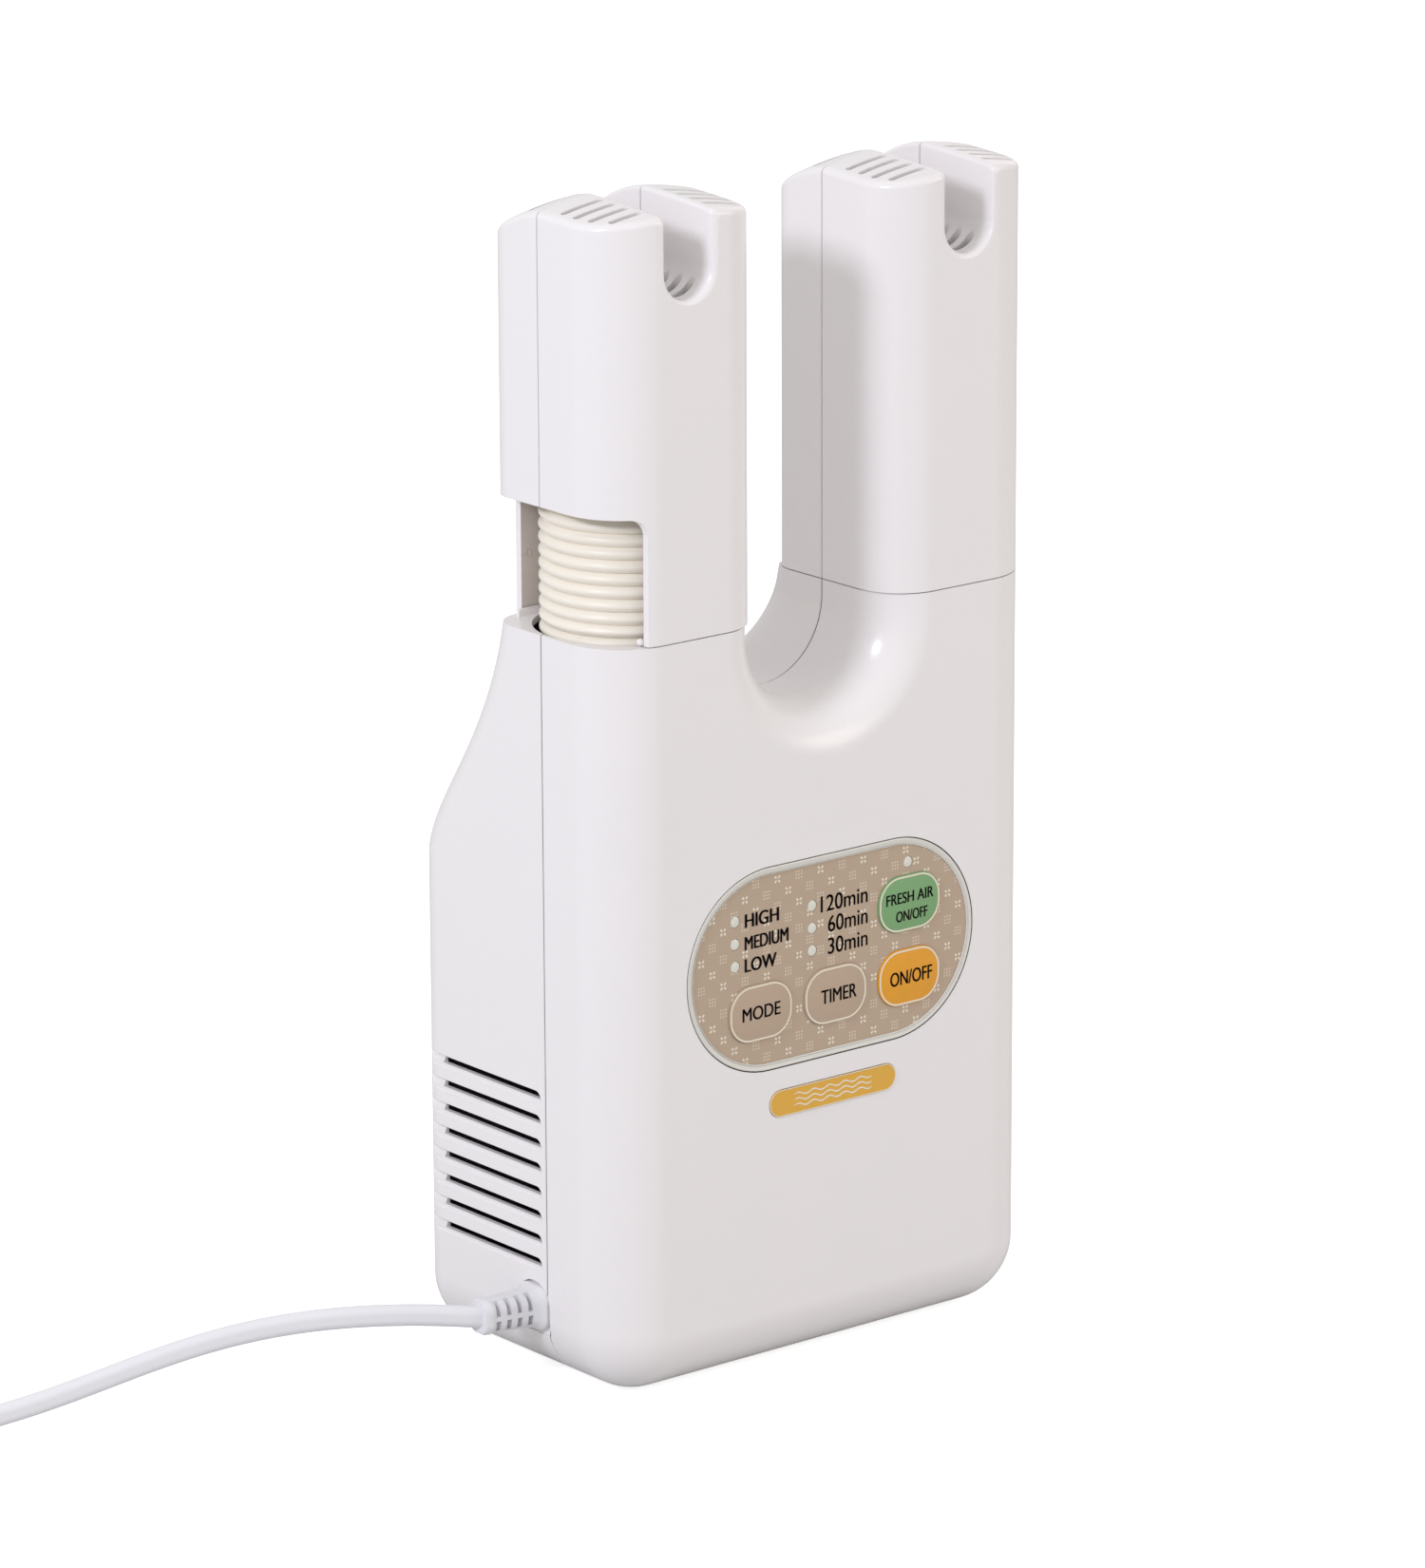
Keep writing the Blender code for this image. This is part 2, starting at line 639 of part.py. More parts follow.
def make_nozzle(side, word):
    bottom = JOINT_Z + GAP
    notch = facing(notch_outline(side, 0), -0.06, 0.06, f"notch_{word}")
    channel = facing(notch_outline(side, WALL), -0.07, 0.07, f"channel_{word}")
    hollow = nozzle_form(f"nozzle_hollow_{word}", side, WALL, bottom - 0.01)
    boolean(hollow, channel)
    cutters = [notch, hollow, grille_cutter(side)]
    if side < 0:
        cutters.append(facing(window_outline(side), -0.06, 0.06, f"window_{word}"))
    x, z = side * NOZZLE_X, NOZZLE_SCREW_Z
    front = nozzle_form(f"nozzle_{word}_front", side, 0, bottom, "white_plastic")
    keep_half(front, -GAP / 2, True)
    rear = nozzle_form(f"nozzle_{word}_rear", side, 0, bottom, "white_plastic")
    keep_half(rear, GAP / 2, False)
    for shell in (front, rear):
        for cutter in cutters:
            carve(shell, cutter)
    add_front_post(front, x, z)
    add_rear_post(rear, x, z, TOWER_BACK_Y - WALL / 2)
    make_screw(f"nozzle_screw_{word}", x, z)


def make_screw(name, x, z):
    """A pan-head screw whose head sits in its well and whose tip points to -Y."""
    profile = [(0, 0), (0.0012, 0), (0.0012, 0.0195), (0.0029, 0.0195), (0.0025, 0.0214), (0, 0.0214)]
    turned(name, profile, (x, SCREW_HEAD_Y + GAP - 0.0195, z), (0, 1, 0), "steel", 8)


def make_hose(side, word):
    """A pleated hose: one closed wall with a zigzag outside and inside."""
    pitch = (HOSE_TOP_Z - HOSE_BOTTOM_Z) / HOSE_RIBS
    outer = []
    for i in range(HOSE_RIBS):
        low = HOSE_BOTTOM_Z + i * pitch
        outer += [(HOSE_R - HOSE_RIB_DEPTH, low), (HOSE_R, low + pitch / 2)]
    outer.append((HOSE_R - HOSE_RIB_DEPTH, HOSE_TOP_Z))
    bore = HOSE_R - HOSE_RIB_DEPTH - HOSE_WALL
    profile = outer + [(bore, HOSE_TOP_Z), (bore, HOSE_BOTTOM_Z)]
    turned(f"hose_{word}", profile, (side * NOZZLE_X, NOZZLE_Y, 0), (0, 0, 1), "cream_plastic")
    make_hose_ends(side, word, bore - GAP)


def make_hose_ends(side, word, spigot):
    """The socket under the hose, fixed to the duct, and the collar that carries the nozzle."""
    centre = (side * NOZZLE_X, NOZZLE_Y, 0)
    flange = HOSE_R - 0.0002
    bore = spigot - 0.0018
    low, high = DUCT_TOP_Z + GAP, HOSE_BOTTOM_Z - GAP
    socket = [
        (bore, low), (flange, low), (flange, high),
        (spigot, high), (spigot, high + 0.012), (bore, high + 0.012),
    ]
    turned(f"hose_socket_{word}", socket, centre, (0, 0, 1), "grey_plastic")
    low, high = HOSE_TOP_Z + GAP, HOSE_TOP_Z + 0.0045
    collar = [
        (bore, low - 0.010), (spigot, low - 0.010), (spigot, low),
        (flange, low), (flange, high), (bore, high),
    ]
    turned(f"hose_collar_{word}", collar, centre, (0, 0, 1), "grey_plastic")


# ---------------------------------------------------------------- control panel


def make_panel():
    outer = rounded_rectangle((0, PANEL_Z), PANEL_WIDTH, PANEL_HEIGHT, PANEL_HEIGHT / 2 - 0.0001, 8)
    hole_width, hole_height = PANEL_WIDTH - 2 * PANEL_BORDER, PANEL_HEIGHT - 2 * PANEL_BORDER
    hole = rounded_rectangle((0, PANEL_Z), hole_width, hole_height, hole_height / 2 - 0.0001, 8)
    floor = FRONT_Y + PANEL_RECESS - GAP
    frame = facing(outer, FRONT_Y - 0.0002, floor, "panel_frame", "panel_border")
    boolean(frame, facing(hole, -0.05, 0, "panel_frame_hole"))
    film_width, film_height = hole_width - 2 * GAP, hole_height - 2 * GAP
    film = rounded_rectangle((0, PANEL_Z), film_width, film_height, film_height / 2 - 0.0001, 8)
    overlay = facing(film, floor - 0.0005, floor, "panel_overlay", "panel_film")
    cut_panel_holes(overlay, -0.05, 0)
    label = rounded_rectangle((0.0005, BADGE_Z), BADGE_WIDTH, BADGE_HEIGHT, BADGE_HEIGHT / 2 - 0.0001, 5)
    facing(label, FRONT_Y - 0.0002, FRONT_Y + 0.0003, "badge", "badge_yellow")


def make_buttons():
    """Each key cap with the flange that keeps it in the case, over its own switch."""
    finishes = ("key_tan", "key_tan", "key_orange", "key_green")
    back = FRONT_Y + WALL + GAP
    for (name, (x, z)), finish in zip(BUTTONS.items(), finishes):
        cap = rounded_rectangle((x, z), BUTTON_WIDTH, BUTTON_HEIGHT, BUTTON_R, 3)
        key = facing(cap, FRONT_Y - 0.0004, back + 0.0005, name, finish)
        width, height = BUTTON_WIDTH + 2 * KEY_FLANGE, BUTTON_HEIGHT + 2 * KEY_FLANGE
        edge = rounded_rectangle((x, z), width, height, BUTTON_R + KEY_FLANGE, 2)
        boolean(key, facing(edge, back, back + 0.0008, f"{name}_flange"), "UNION")
        make_switch(name.replace("button", "switch"), x, z)


def make_switch(name, x, z):
    """A tactile switch: a square body with a round plunger, on the front of the board."""
    back = BOARD_Y - GAP
    body = box(name, (x - 0.003, back - 0.0018, z - 0.003), (x + 0.003, back, z + 0.003), "black_plastic")
    plunger = cylinder(f"{name}_plunger", (x, back - 0.001, z), (0, -1, 0), 0.0016, 0.0013, sides=12)
    boolean(body, plunger, "UNION")


def make_light_pipes():
    """Clear rods behind the indicator holes, joined by a bar at the back."""
    for name, places in LIGHTS.items():
        back = FRONT_Y + WALL + GAP
        x, low = places[0]
        high = places[-1][1]
        bar = rounded_rectangle((x, (low + high) / 2), 0.0052, high - low + 0.0052, 0.0010, 2)
        pipe = facing(bar, back, back + 0.0010, name, "light_white")
        for i, (px, pz) in enumerate(places):
            root = (px, back + 0.0005, pz)
            rod = cylinder(f"{name}_rod_{i}", root, (0, -1, 0), LIGHT_R, 0.0029, sides=12)
            boolean(pipe, rod, "UNION")


def make_boards():
    high = BOARD_Y + BOARD_THICKNESS
    board = box("control_board", (-0.046, BOARD_Y, 0.100), (0.046, high, 0.153), "board_green")
    for places in LIGHTS.values():
        for i, (x, z) in enumerate(places):
            low = (x - 0.0014, BOARD_Y - 0.0010, z - 0.0010)
            top = (x + 0.0014, BOARD_Y + 0.0004, z + 0.0010)
            boolean(board, box(f"lamp_{x}_{i}", low, top), "UNION")
    box("power_board", (-0.056, -0.0248, 0.030), (0.040, -0.0232, 0.088), "board_green")
    core = box("transformer", (-0.052, -0.0229, 0.036), (-0.024, -0.0050, 0.058), "steel")
    winding = rounded_rectangle((-0.038, 0.047), 0.018, 0.028, 0.003, 2)
    boolean(core, facing(winding, -0.021, -0.007, "winding"), "UNION")


# ---------------------------------------------------------------- fan, heater and ducts


def scroll_outline(inset):
    """The fan housing's spiral with its upright outlet, as (x, z) points."""
    points = []
    steps = 16
    for i in range(steps + 1):
        turn = math.radians(-180 * i / steps)
        radius = SCROLL_SMALL_R + (SCROLL_LARGE_R - SCROLL_SMALL_R) * i / steps - inset
        points.append((FAN_X + radius * math.cos(turn), FAN_Z + radius * math.sin(turn)))
    top = SCROLL_TOP_Z + (0.01 if inset else 0)
    return points + [(points[-1][0], top), (points[0][0], top)]


def make_fan():
    housing = facing(scroll_outline(0), HOUSING_FRONT_Y, HOUSING_BACK_Y, "fan_housing", "grey_plastic")
    boolean(housing, facing(scroll_outline(0.0018), HOUSING_FRONT_Y + 0.002, 0.08, "scroll_hollow"))
    boolean(housing, cylinder("shaft_hole", (FAN_X, 0, FAN_Z), (0, 1, 0), 0.004, 0.03, sides=16))
    cover = facing(
        scroll_outline(0), HOUSING_BACK_Y + GAP, HOUSING_BACK_Y + GAP + 0.002, "fan_cover", "grey_plastic"
    )
    boolean(cover, cylinder("inlet_hole", (FAN_X, 0.04, FAN_Z), (0, 1, 0), 0.0215, 0.03))
    shaft_end = (FAN_X, MOTOR_FRONT_Y - 0.004, FAN_Z)
    cylinder("motor_shaft", shaft_end, (0, 1, 0), SHAFT_R, SHAFT_LENGTH, "steel", 12)
    length = HOUSING_FRONT_Y - GAP - MOTOR_FRONT_Y
    centre = (FAN_X, MOTOR_FRONT_Y, FAN_Z)
    profile = [
        (SHAFT_R + GAP, -0.002), (0.005, -0.002), (0.005, 0), (MOTOR_R - 0.002, 0), (MOTOR_R, 0.002),
        (MOTOR_R, length), (SHAFT_R + GAP, length),
    ]
    turned("fan_motor", profile, centre, (0, 1, 0), "steel", 16)
    make_impeller()


def make_impeller():
    """A squirrel-cage wheel: back plate with its hub, a ring of blades and a front ring."""
    front, back = HOUSING_FRONT_Y + 0.004, HOUSING_BACK_Y - 0.003
    bore = SHAFT_R + 0.00015
    depth = back - front
    hub = [(bore, 0), (FAN_R, 0), (FAN_R, 0.0015), (0.006, 0.0015), (0.006, 0.012), (bore, 0.012)]
    wheel = turned("fan_impeller", hub, (FAN_X, front, FAN_Z), (0, 1, 0), "black_plastic", 20)
    blades = bmesh.new()
    for i in range(BLADES):
        spin = Matrix.Rotation(2 * math.pi * i / BLADES, 4, "Y")
        lean = Matrix.Translation((FAN_R - 0.0042, 0, 0)) @ Matrix.Rotation(math.radians(35), 4, "Y")
        size = Matrix.Diagonal((0.0068, depth - 0.001, 0.0009, 1))
        place = Matrix.Translation((FAN_X, (front + back) / 2, FAN_Z)) @ spin @ lean @ size
        bmesh.ops.create_cube(blades, size=1, matrix=place)
    boolean(wheel, add_object("impeller_blades", blades), "UNION")
    ring = tube("impeller_ring", (FAN_X, back - 0.0015, FAN_Z), (0, 1, 0), FAN_R - 0.006, FAN_R, 0.0015)
    boolean(wheel, ring, "UNION")


def make_heater():
    """A mica frame over the fan's outlet with a flat ribbon element looped across it."""
    left, right = FAN_X - SCROLL_LARGE_R, FAN_X + SCROLL_SMALL_R
    low, high = SCROLL_TOP_Z + GAP, HEATER_TOP_Z
    frame = box("heater_frame", (left, HOUSING_FRONT_Y, low), (right, HOUSING_BACK_Y, high), "mica")
    inner_low = (left + 0.0018, HOUSING_FRONT_Y + 0.0018, 0.09)
    inner_high = (right - 0.0018, HOUSING_BACK_Y - 0.0018, 0.13)
    boolean(frame, box("heater_opening", inner_low, inner_high))
    middle = (low + high) / 2
    loops = 9
    pitch = (right - left - 0.010) / (2 * loops)
    near, far = HOUSING_FRONT_Y + 0.004, HOUSING_BACK_Y - 0.004
    path = []
    for i in range(2 * loops):
        x = left + 0.005 + i * pitch
        ends = (near, far) if i % 2 == 0 else (far, near)
        path += [(x, ends[0]), (x, ends[1])]
    ribbon(path, 0.0005, middle - 0.003, middle + 0.003, "heater_element", "copper")
    turned(
        "thermostat", [(0, 0), (0.006, 0), (0.006, 0.004), (0.003, 0.005), (0, 0.005)],
        (right + GAP, (near + far) / 2, middle), (1, 0, 0), "steel", 16,
    )
    unit = box("ozone_unit", (-0.064, 0.024, 0.092), (-0.038, 0.044, 0.114), "black_plastic")
    stub = cylinder("ozone_stub", (-0.039, 0.034, 0.110), (1, 0, 0), 0.002, 0.0055, sides=12)
    boolean(unit, stub, "UNION")


def ribbon(path, half, low, high, name, finish):
    """An upright strip of even thickness that follows square turns in plan."""
    left, right = [], []
    for i, (x, y) in enumerate(path):
        before = Vector(path[max(i - 1, 0)])
        after = Vector(path[min(i + 1, len(path) - 1)])
        here = Vector((x, y))
        first = (here - before).normalized() if i else (after - here).normalized()
        last = (after - here).normalized() if i < len(path) - 1 else first
        normal = Vector((-first.y, first.x))
        if first != last:
            normal += Vector((-last.y, last.x))
        left.append(tuple(here + normal * half))
        right.append(tuple(here - normal * half))
    return upright(left + right[::-1], low, high, name, finish)


def stadium(half_width, middle_y, radius, steps):
    """A flat-sided oval in plan, long in X, as (x, y) points."""
    right = arc((half_width - radius, middle_y), (radius, radius), -90, 90, steps)
    return right + [(-x, y) for x, y in reversed(right)]


def make_duct():
    """The forked duct: one inlet over the heater, and a round outlet under each hose."""
    steps = 5
    rings = []
    hollow = []
    for inset, target in ((0, rings), (0.002, hollow)):
        half = SCROLL_SMALL_R + 0.003 - inset
        near, far = HOUSING_FRONT_Y + inset, HOUSING_BACK_Y - inset
        inlet = []
        for i in range(steps + 1):
            inlet.append((half, near + (far - near) * i / steps))
        inlet += [(-x, y) for x, y in reversed(inlet)]
        wide = stadium(NOZZLE_X + DUCT_R - inset, NOZZLE_Y, DUCT_R - inset, steps)
        low, high = HEATER_TOP_Z + GAP, DUCT_TOP_Z - inset
        if inset:
            target.append([(x, y, low - 0.01) for x, y in inlet])
        target.append([(x, y, low) for x, y in inlet])
        target.append([(x, y, low + 0.004) for x, y in inlet])
        target.append([(x, y, high - 0.010) for x, y in wide])
        target.append([(x, y, high) for x, y in wide])
    duct = loft("duct_manifold", rings, "grey_plastic")
    boolean(duct, loft("duct_hollow", hollow))
    for side in (-1, 1):
        centre = (side * NOZZLE_X, NOZZLE_Y, DUCT_TOP_Z - 0.005)
        boolean(duct, cylinder(f"duct_outlet_{side}", centre, (0, 0, 1), 0.0200, 0.01))


# ---------------------------------------------------------------- feet, screws and lead


def make_feet_and_screws():
    for i, (x, y) in enumerate(FEET):
        profile = [(0, 0), (FOOT_R - 0.0003, 0), (FOOT_R, 0.0003), (FOOT_R, 0.0009), (0, 0.0009)]
        turned(f"foot_{i + 1}", profile, (x, y, 0), (0, 0, 1), "rubber", 12)
    for i, (x, z) in enumerate(SCREWS):
        make_screw(f"case_screw_{i + 1}", x, z)


def make_lead():
    """Strain relief in the side of the case, the lead, and a two-pin plug at its end."""
    wall_x = -WIDTH / 2 - GAP
    profile = [(0.0, RELIEF_FLANGE_HALF), (RELIEF_FLANGE_LENGTH, RELIEF_FLANGE_HALF)]
    for i in range(RELIEF_RIBS):
        start = RELIEF_FLANGE_LENGTH + i * RELIEF_RIB_PITCH
        size = RELIEF_RIB_HALF - i * RELIEF_TAPER
        groove = size - RELIEF_RIB_DEPTH
        profile += [(start, groove), (start + 0.0012, groove)]
        profile += [(start + 0.0014, size), (start + RELIEF_RIB_PITCH, size)]
    profile.append((RELIEF_LENGTH, 0.0040))
    stub = circle((CORD_Y, CORD_Z), RELIEF_STUB_R, 8)
    rings = [[(x, y, z) for y, z in stub] for x in (wall_x + GAP + 0.006, wall_x)]
    for along, size in profile:
        square = rounded_rectangle((0, 0), 2 * size, 2 * size, size * 0.6, 1)
        middle_z = CORD_Z + along * RELIEF_RISE
        rings.append([(wall_x - along, CORD_Y + dy, middle_z + dz) for dy, dz in square])
    loft("strain_relief", rings, "lead_white")
    make_cord(Vector((wall_x - RELIEF_LENGTH - GAP, CORD_Y, CORD_POINTS[0][2])))


def make_cord(start):
    """A flat oval lead swept along its curve to the plug."""
    points = [start] + [bezier(CORD_POINTS, i / CORD_STEPS) for i in range(1, CORD_STEPS + 1)]
    oval = arc((0, 0), (CORD_R * CORD_FLATNESS, CORD_R), 0, 324, 9)
    rings = []
    for i, point in enumerate(points):
        ahead = Vector((-1, 0, 0))
        if i:
            ahead = points[min(i + 1, CORD_STEPS)] - points[i - 1]
        across = ahead.cross(Vector((0, 0, 1))).normalized()
        up = across.cross(ahead).normalized()
        rings.append([point + across * a + up * b for a, b in oval])
    loft("power_cord", rings, "lead_white")
    make_plug(points[-1], (points[-1] - points[-2]).normalized())


def make_plug(end, along):
    """A moulded body that thickens away from the lead, kept clear of the floor, and its blades."""
    across = along.cross(Vector((0, 0, 1))).normalized()
    up = across.cross(along).normalized()
    stages = [(GAP, 0.0036), (0.004, 0.0050), (0.010, 0.0078), (0.022, 0.0090), (PLUG_LENGTH, 0.0090)]
    rings = []
    for distance, half in stages:
        middle = end + along * distance
        thick = min(half, PLUG_HALF)
        outline = rounded_rectangle((0, 0), 2.2 * half, 2 * thick, thick * 0.6, 2)
        lift = max(0.0, thick + GAP - middle.z)
        rings.append([middle + across * a + up * (b + lift) for a, b in outline])
    body = loft("power_plug", rings, "lead_white")
    face = end + along * PLUG_LENGTH + up * max(0.0, PLUG_HALF + GAP - end.z)
    wide, tall = BLADE_SIZE[0] / 2, BLADE_SIZE[1] / 2
    flat = [(-wide, -tall), (wide, -tall), (wide, tall), (-wide, tall)]
    for word, sign in (("left", -1), ("right", 1)):
        rings = []
        hole = []
        for distance in BLADE_SPAN:
            middle = face + along * distance + across * (sign * BLADE_PITCH)
            deeper = middle - along * GAP
            rings.append([middle + across * a + up * b for a, b in flat])
            hole.append([deeper + across * (a * 1.4) + up * (b * 1.1) for a, b in flat])
        loft(f"plug_blade_{word}", rings, "brass")
        boolean(body, loft(f"blade_hole_{word}", hole))


def main():
    clear_scene()
    make_front_case()
    make_rear_case()
    for side, word in ((-1, "left"), (1, "right")):
        make_nozzle(side, word)
        make_hose(side, word)
    make_panel()
    make_buttons()
    make_light_pipes()
    make_boards()
    make_fan()
    make_heater()
    make_duct()
    make_feet_and_screws()
    make_lead()


main()
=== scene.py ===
"""Looks of the boot dryer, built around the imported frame.

Smooth shells stand for the faceted case and nozzles, and the hoses, panel, keys, print and lead are
modelled in full. Shapes are drawn in the seam's frame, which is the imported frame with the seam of
the case at Y = 0; place() moves them onto the frame. Lengths are in metres.
"""

import json
import math

import bmesh
import bpy
from mathutils import Matrix, Vector


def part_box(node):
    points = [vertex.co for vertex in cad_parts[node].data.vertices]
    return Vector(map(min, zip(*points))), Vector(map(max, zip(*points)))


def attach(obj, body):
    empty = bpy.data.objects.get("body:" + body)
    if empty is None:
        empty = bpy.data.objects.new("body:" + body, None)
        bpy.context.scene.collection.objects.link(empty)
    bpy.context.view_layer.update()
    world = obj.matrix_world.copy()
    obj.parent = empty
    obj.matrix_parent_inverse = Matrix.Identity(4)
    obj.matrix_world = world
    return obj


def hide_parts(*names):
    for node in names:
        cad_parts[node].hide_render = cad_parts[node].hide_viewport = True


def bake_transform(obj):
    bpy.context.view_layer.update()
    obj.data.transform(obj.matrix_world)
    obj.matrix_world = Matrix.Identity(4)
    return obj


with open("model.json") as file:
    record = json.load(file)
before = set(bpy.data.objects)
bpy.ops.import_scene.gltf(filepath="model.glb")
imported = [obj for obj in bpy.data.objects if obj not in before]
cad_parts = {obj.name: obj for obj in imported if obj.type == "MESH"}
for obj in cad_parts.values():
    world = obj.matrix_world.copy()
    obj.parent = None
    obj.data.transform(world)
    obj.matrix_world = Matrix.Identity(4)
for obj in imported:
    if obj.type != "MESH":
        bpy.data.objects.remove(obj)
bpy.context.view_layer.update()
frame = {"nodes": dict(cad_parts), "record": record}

# ---- sizes taken from the frame

CASE_LOW, CASE_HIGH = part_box("front_case")
REAR_LOW, REAR_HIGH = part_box("rear_case")
NOZZLE_LOW, NOZZLE_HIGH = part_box("nozzle_right_rear")
SEAM = (CASE_HIGH.y + REAR_LOW.y) / 2
GAP = REAR_LOW.y - CASE_HIGH.y
HALF = CASE_HIGH.x
FRONT = CASE_LOW.y - SEAM
BULGE = REAR_HIGH.y - SEAM
TOWER_BACK = NOZZLE_HIGH.y - SEAM
JOINT = CASE_HIGH.z
NOZZLE_BOTTOM = NOZZLE_LOW.z
FORK = NOZZLE_LOW.x
NOZZLE_X = (NOZZLE_LOW.x + NOZZLE_HIGH.x) / 2
NOZZLE_Y = (FRONT + TOWER_BACK) / 2
NOZZLE_HALF = (NOZZLE_HIGH.x - NOZZLE_LOW.x) / 2
SIDES = ((-1, "left"), (1, "right"))

# ---- form of the shells

WALL = 0.0022
CORNER_R = 0.0205
FRONT_EDGE_R = 0.0190
FORK_EDGE_R = 0.0150
BACK_EDGE_R = 0.0110
FORK_BACK_R = 0.0060
FORK_Z = 0.2243
REAR_CURVE = ((TOWER_BACK, JOINT), (0.033, 0.190), (0.0595, 0.170), (BULGE, 0.152))
SEAM_CHAMFER = 0.0003
CHAMFER_SHARES = (0.0, 0.3, 1.0)

CROWN_Z = 0.3558
CROWN_SIDE_DROP = 0.0037
CROWN_FRONT_DROP = (0.0012, 0.0012)
CROWN_BACK_DROP = (0.0031, 0.0078)
NOZZLE_BACK_R = 0.0100
LIP_R = 0.0018
NOTCH_HALF = 0.00875
NOTCH_BOTTOM = 0.328
NOTCH_RIM_R = 0.0015
NOTCH_FACE_R = (0.0009, 0.0022)
GRILLE_PITCH = 0.0057
GRILLE_SLOT = 0.0021
GRILLE_FLOOR_SLOT = 0.0029
GRILLE_MARGIN = 0.0027
GRILLE_FRONT_Y = -0.0254
GRILLE_REAR_Y = 0.0065
GRILLE_FRONT_SLOTS = 4
GRILLE_REAR_SLOTS = 2
TOWER_OPENING_R = 0.0278
TAB_SPAN = (0.0102, 0.0204)
TAB_Y = (0.0209, 0.0222)
TAB_HEIGHT = 0.0021
EJECTOR_MARK = (0.0681, 0.2469)
WINDOW_TOP = 0.2665
WINDOW_EDGES = (0.0674, 0.0709)
WINDOW_CORNER_R = 0.005
NUB_R = 0.0011

HOSE_R = 0.0258
HOSE_RIBS = 26
HOSE_RIB_DEPTH = 0.0017
HOSE_WALL = 0.0009

LOUVRES = 8
LOUVRE_TOP = 0.0903
LOUVRE_PITCH = 0.00737
LOUVRE_OPENING = 0.0025
LOUVRE_LIP = 0.0018
LOUVRE_DEPTH = 0.0016
LOUVRE_SHOULDER = LOUVRE_DEPTH * 0.3
LOUVRE_Y = (0.0022, 0.0498)
LOUVRE_NOSE = 0.0022

SCREWS = [(-0.062, 0.021), (0.062, 0.021), (-0.012, 0.183), (0.012, 0.183)]
SCREW_HEAD_Y = 0.0085
SCREW_HOLE_R = 0.0018
NOZZLE_SCREW_Z = 0.300
WELL_R = 0.0034
SLEEVE_R = 0.0050
SLEEVE_BORE = 0.00345


# ---- shader fields


def srgb(red, green, blue):
    """A linear colour from display values between 0 and 255."""
    channels = []
    for value in (red, green, blue):
        share = value / 255
        channels.append(share / 12.92 if share <= 0.04045 else ((share + 0.055) / 1.055) ** 2.4)
    return (*channels, 1.0)


def wire(tree, slot, value):
    """Sets a node's input to a plain value, or links it to an output or a field."""
    value = getattr(value, "socket", value)
    if isinstance(value, bpy.types.NodeSocket):
        tree.links.new(value, slot)
    else:
        slot.default_value = value


def operation(kind):
    """A method that adds one Math node of a kind."""
    return lambda field, *others: field.math(kind, *others)


class Field:
    """A value in a shader tree; plain arithmetic on it adds Math nodes."""

    def __init__(self, tree, socket):
        self.tree = tree
        self.socket = socket

    def math(self, kind, *others):
        node = self.tree.nodes.new("ShaderNodeMath")
        node.operation = kind
        for slot, value in zip(node.inputs, (self, *others)):
            wire(self.tree, slot, value)
        return Field(self.tree, node.outputs[0])

    __add__ = operation("ADD")
    __sub__ = operation("SUBTRACT")
    __mul__ = operation("MULTIPLY")
    __truediv__ = operation("DIVIDE")
    __abs__ = operation("ABSOLUTE")
    __lt__ = operation("LESS_THAN")
    __gt__ = operation("GREATER_THAN")
    nearest = operation("ROUND")
    either = operation("MAXIMUM")
    both = operation("MINIMUM")


class Finish:
    """A Principled material with helpers for its colour, its noise and its bumps."""

    def __init__(self, name, colour, roughness, metallic=0.0):
        self.material = bpy.data.materials.new(name)
        self.material.use_nodes = True
        self.tree = self.material.node_tree
        self.colour = colour
        self.show({"Base Color": colour, "Roughness": roughness, "Metallic": metallic})
        self.normal = None
        self.place = self.node("ShaderNodeTexCoord")["Object"]
        split = self.node("ShaderNodeSeparateXYZ", {"Vector": self.place})
        self.x, self.z = (Field(self.tree, split[axis]) for axis in "XZ")

    def show(self, inputs):
        """Sets inputs of the material's own shader."""
        for name, value in inputs.items():
            wire(self.tree, self.tree.nodes["Principled BSDF"].inputs[name], value)
        return self

    def node(self, kind, inputs=None, **settings):
        """Adds a node, with its settings and its inputs, and gives its outputs."""
        made = self.tree.nodes.new(kind)
        for name, value in settings.items():
            setattr(made, name, value)
        for name, value in (inputs or {}).items():
            wire(self.tree, made.inputs[name], value)
        return made.outputs

    def noise(self, scale, detail=2.0):
        inputs = {"Scale": scale, "Detail": detail, "Vector": self.place}
        return Field(self.tree, self.node("ShaderNodeTexNoise", inputs)[0])

    def tint(self, share, colour):
        """Mixes a colour over what is there, by a field or a number between 0 and 1."""
        inputs = {"Factor": share, "A": self.colour, "B": colour}
        self.colour = self.node("ShaderNodeMix", inputs, data_type="RGBA")["Result"]
        return self.show({"Base Color": self.colour})

    def soften(self, radius):
        """Rounds off fine edges where the shader meets them."""
        self.normal = self.node("ShaderNodeBevel", {"Radius": radius}, samples=4)[0]
        return self.show({"Normal": self.normal})

    def bump(self, height, distance):
        """Raises the surface by a field, on top of what softens it."""
        inputs = {"Distance": distance, "Strength": 1.0, "Height": height}
        if self.normal:
            inputs["Normal"] = self.normal
        self.normal = self.node("ShaderNodeBump", inputs)[0]
        return self.show({"Normal": self.normal})

    def gloss(self, low, high, scale):
        """Lets the roughness wander between two values."""
        return self.show({"Roughness": self.noise(scale, 3.0) * (high - low) + low})


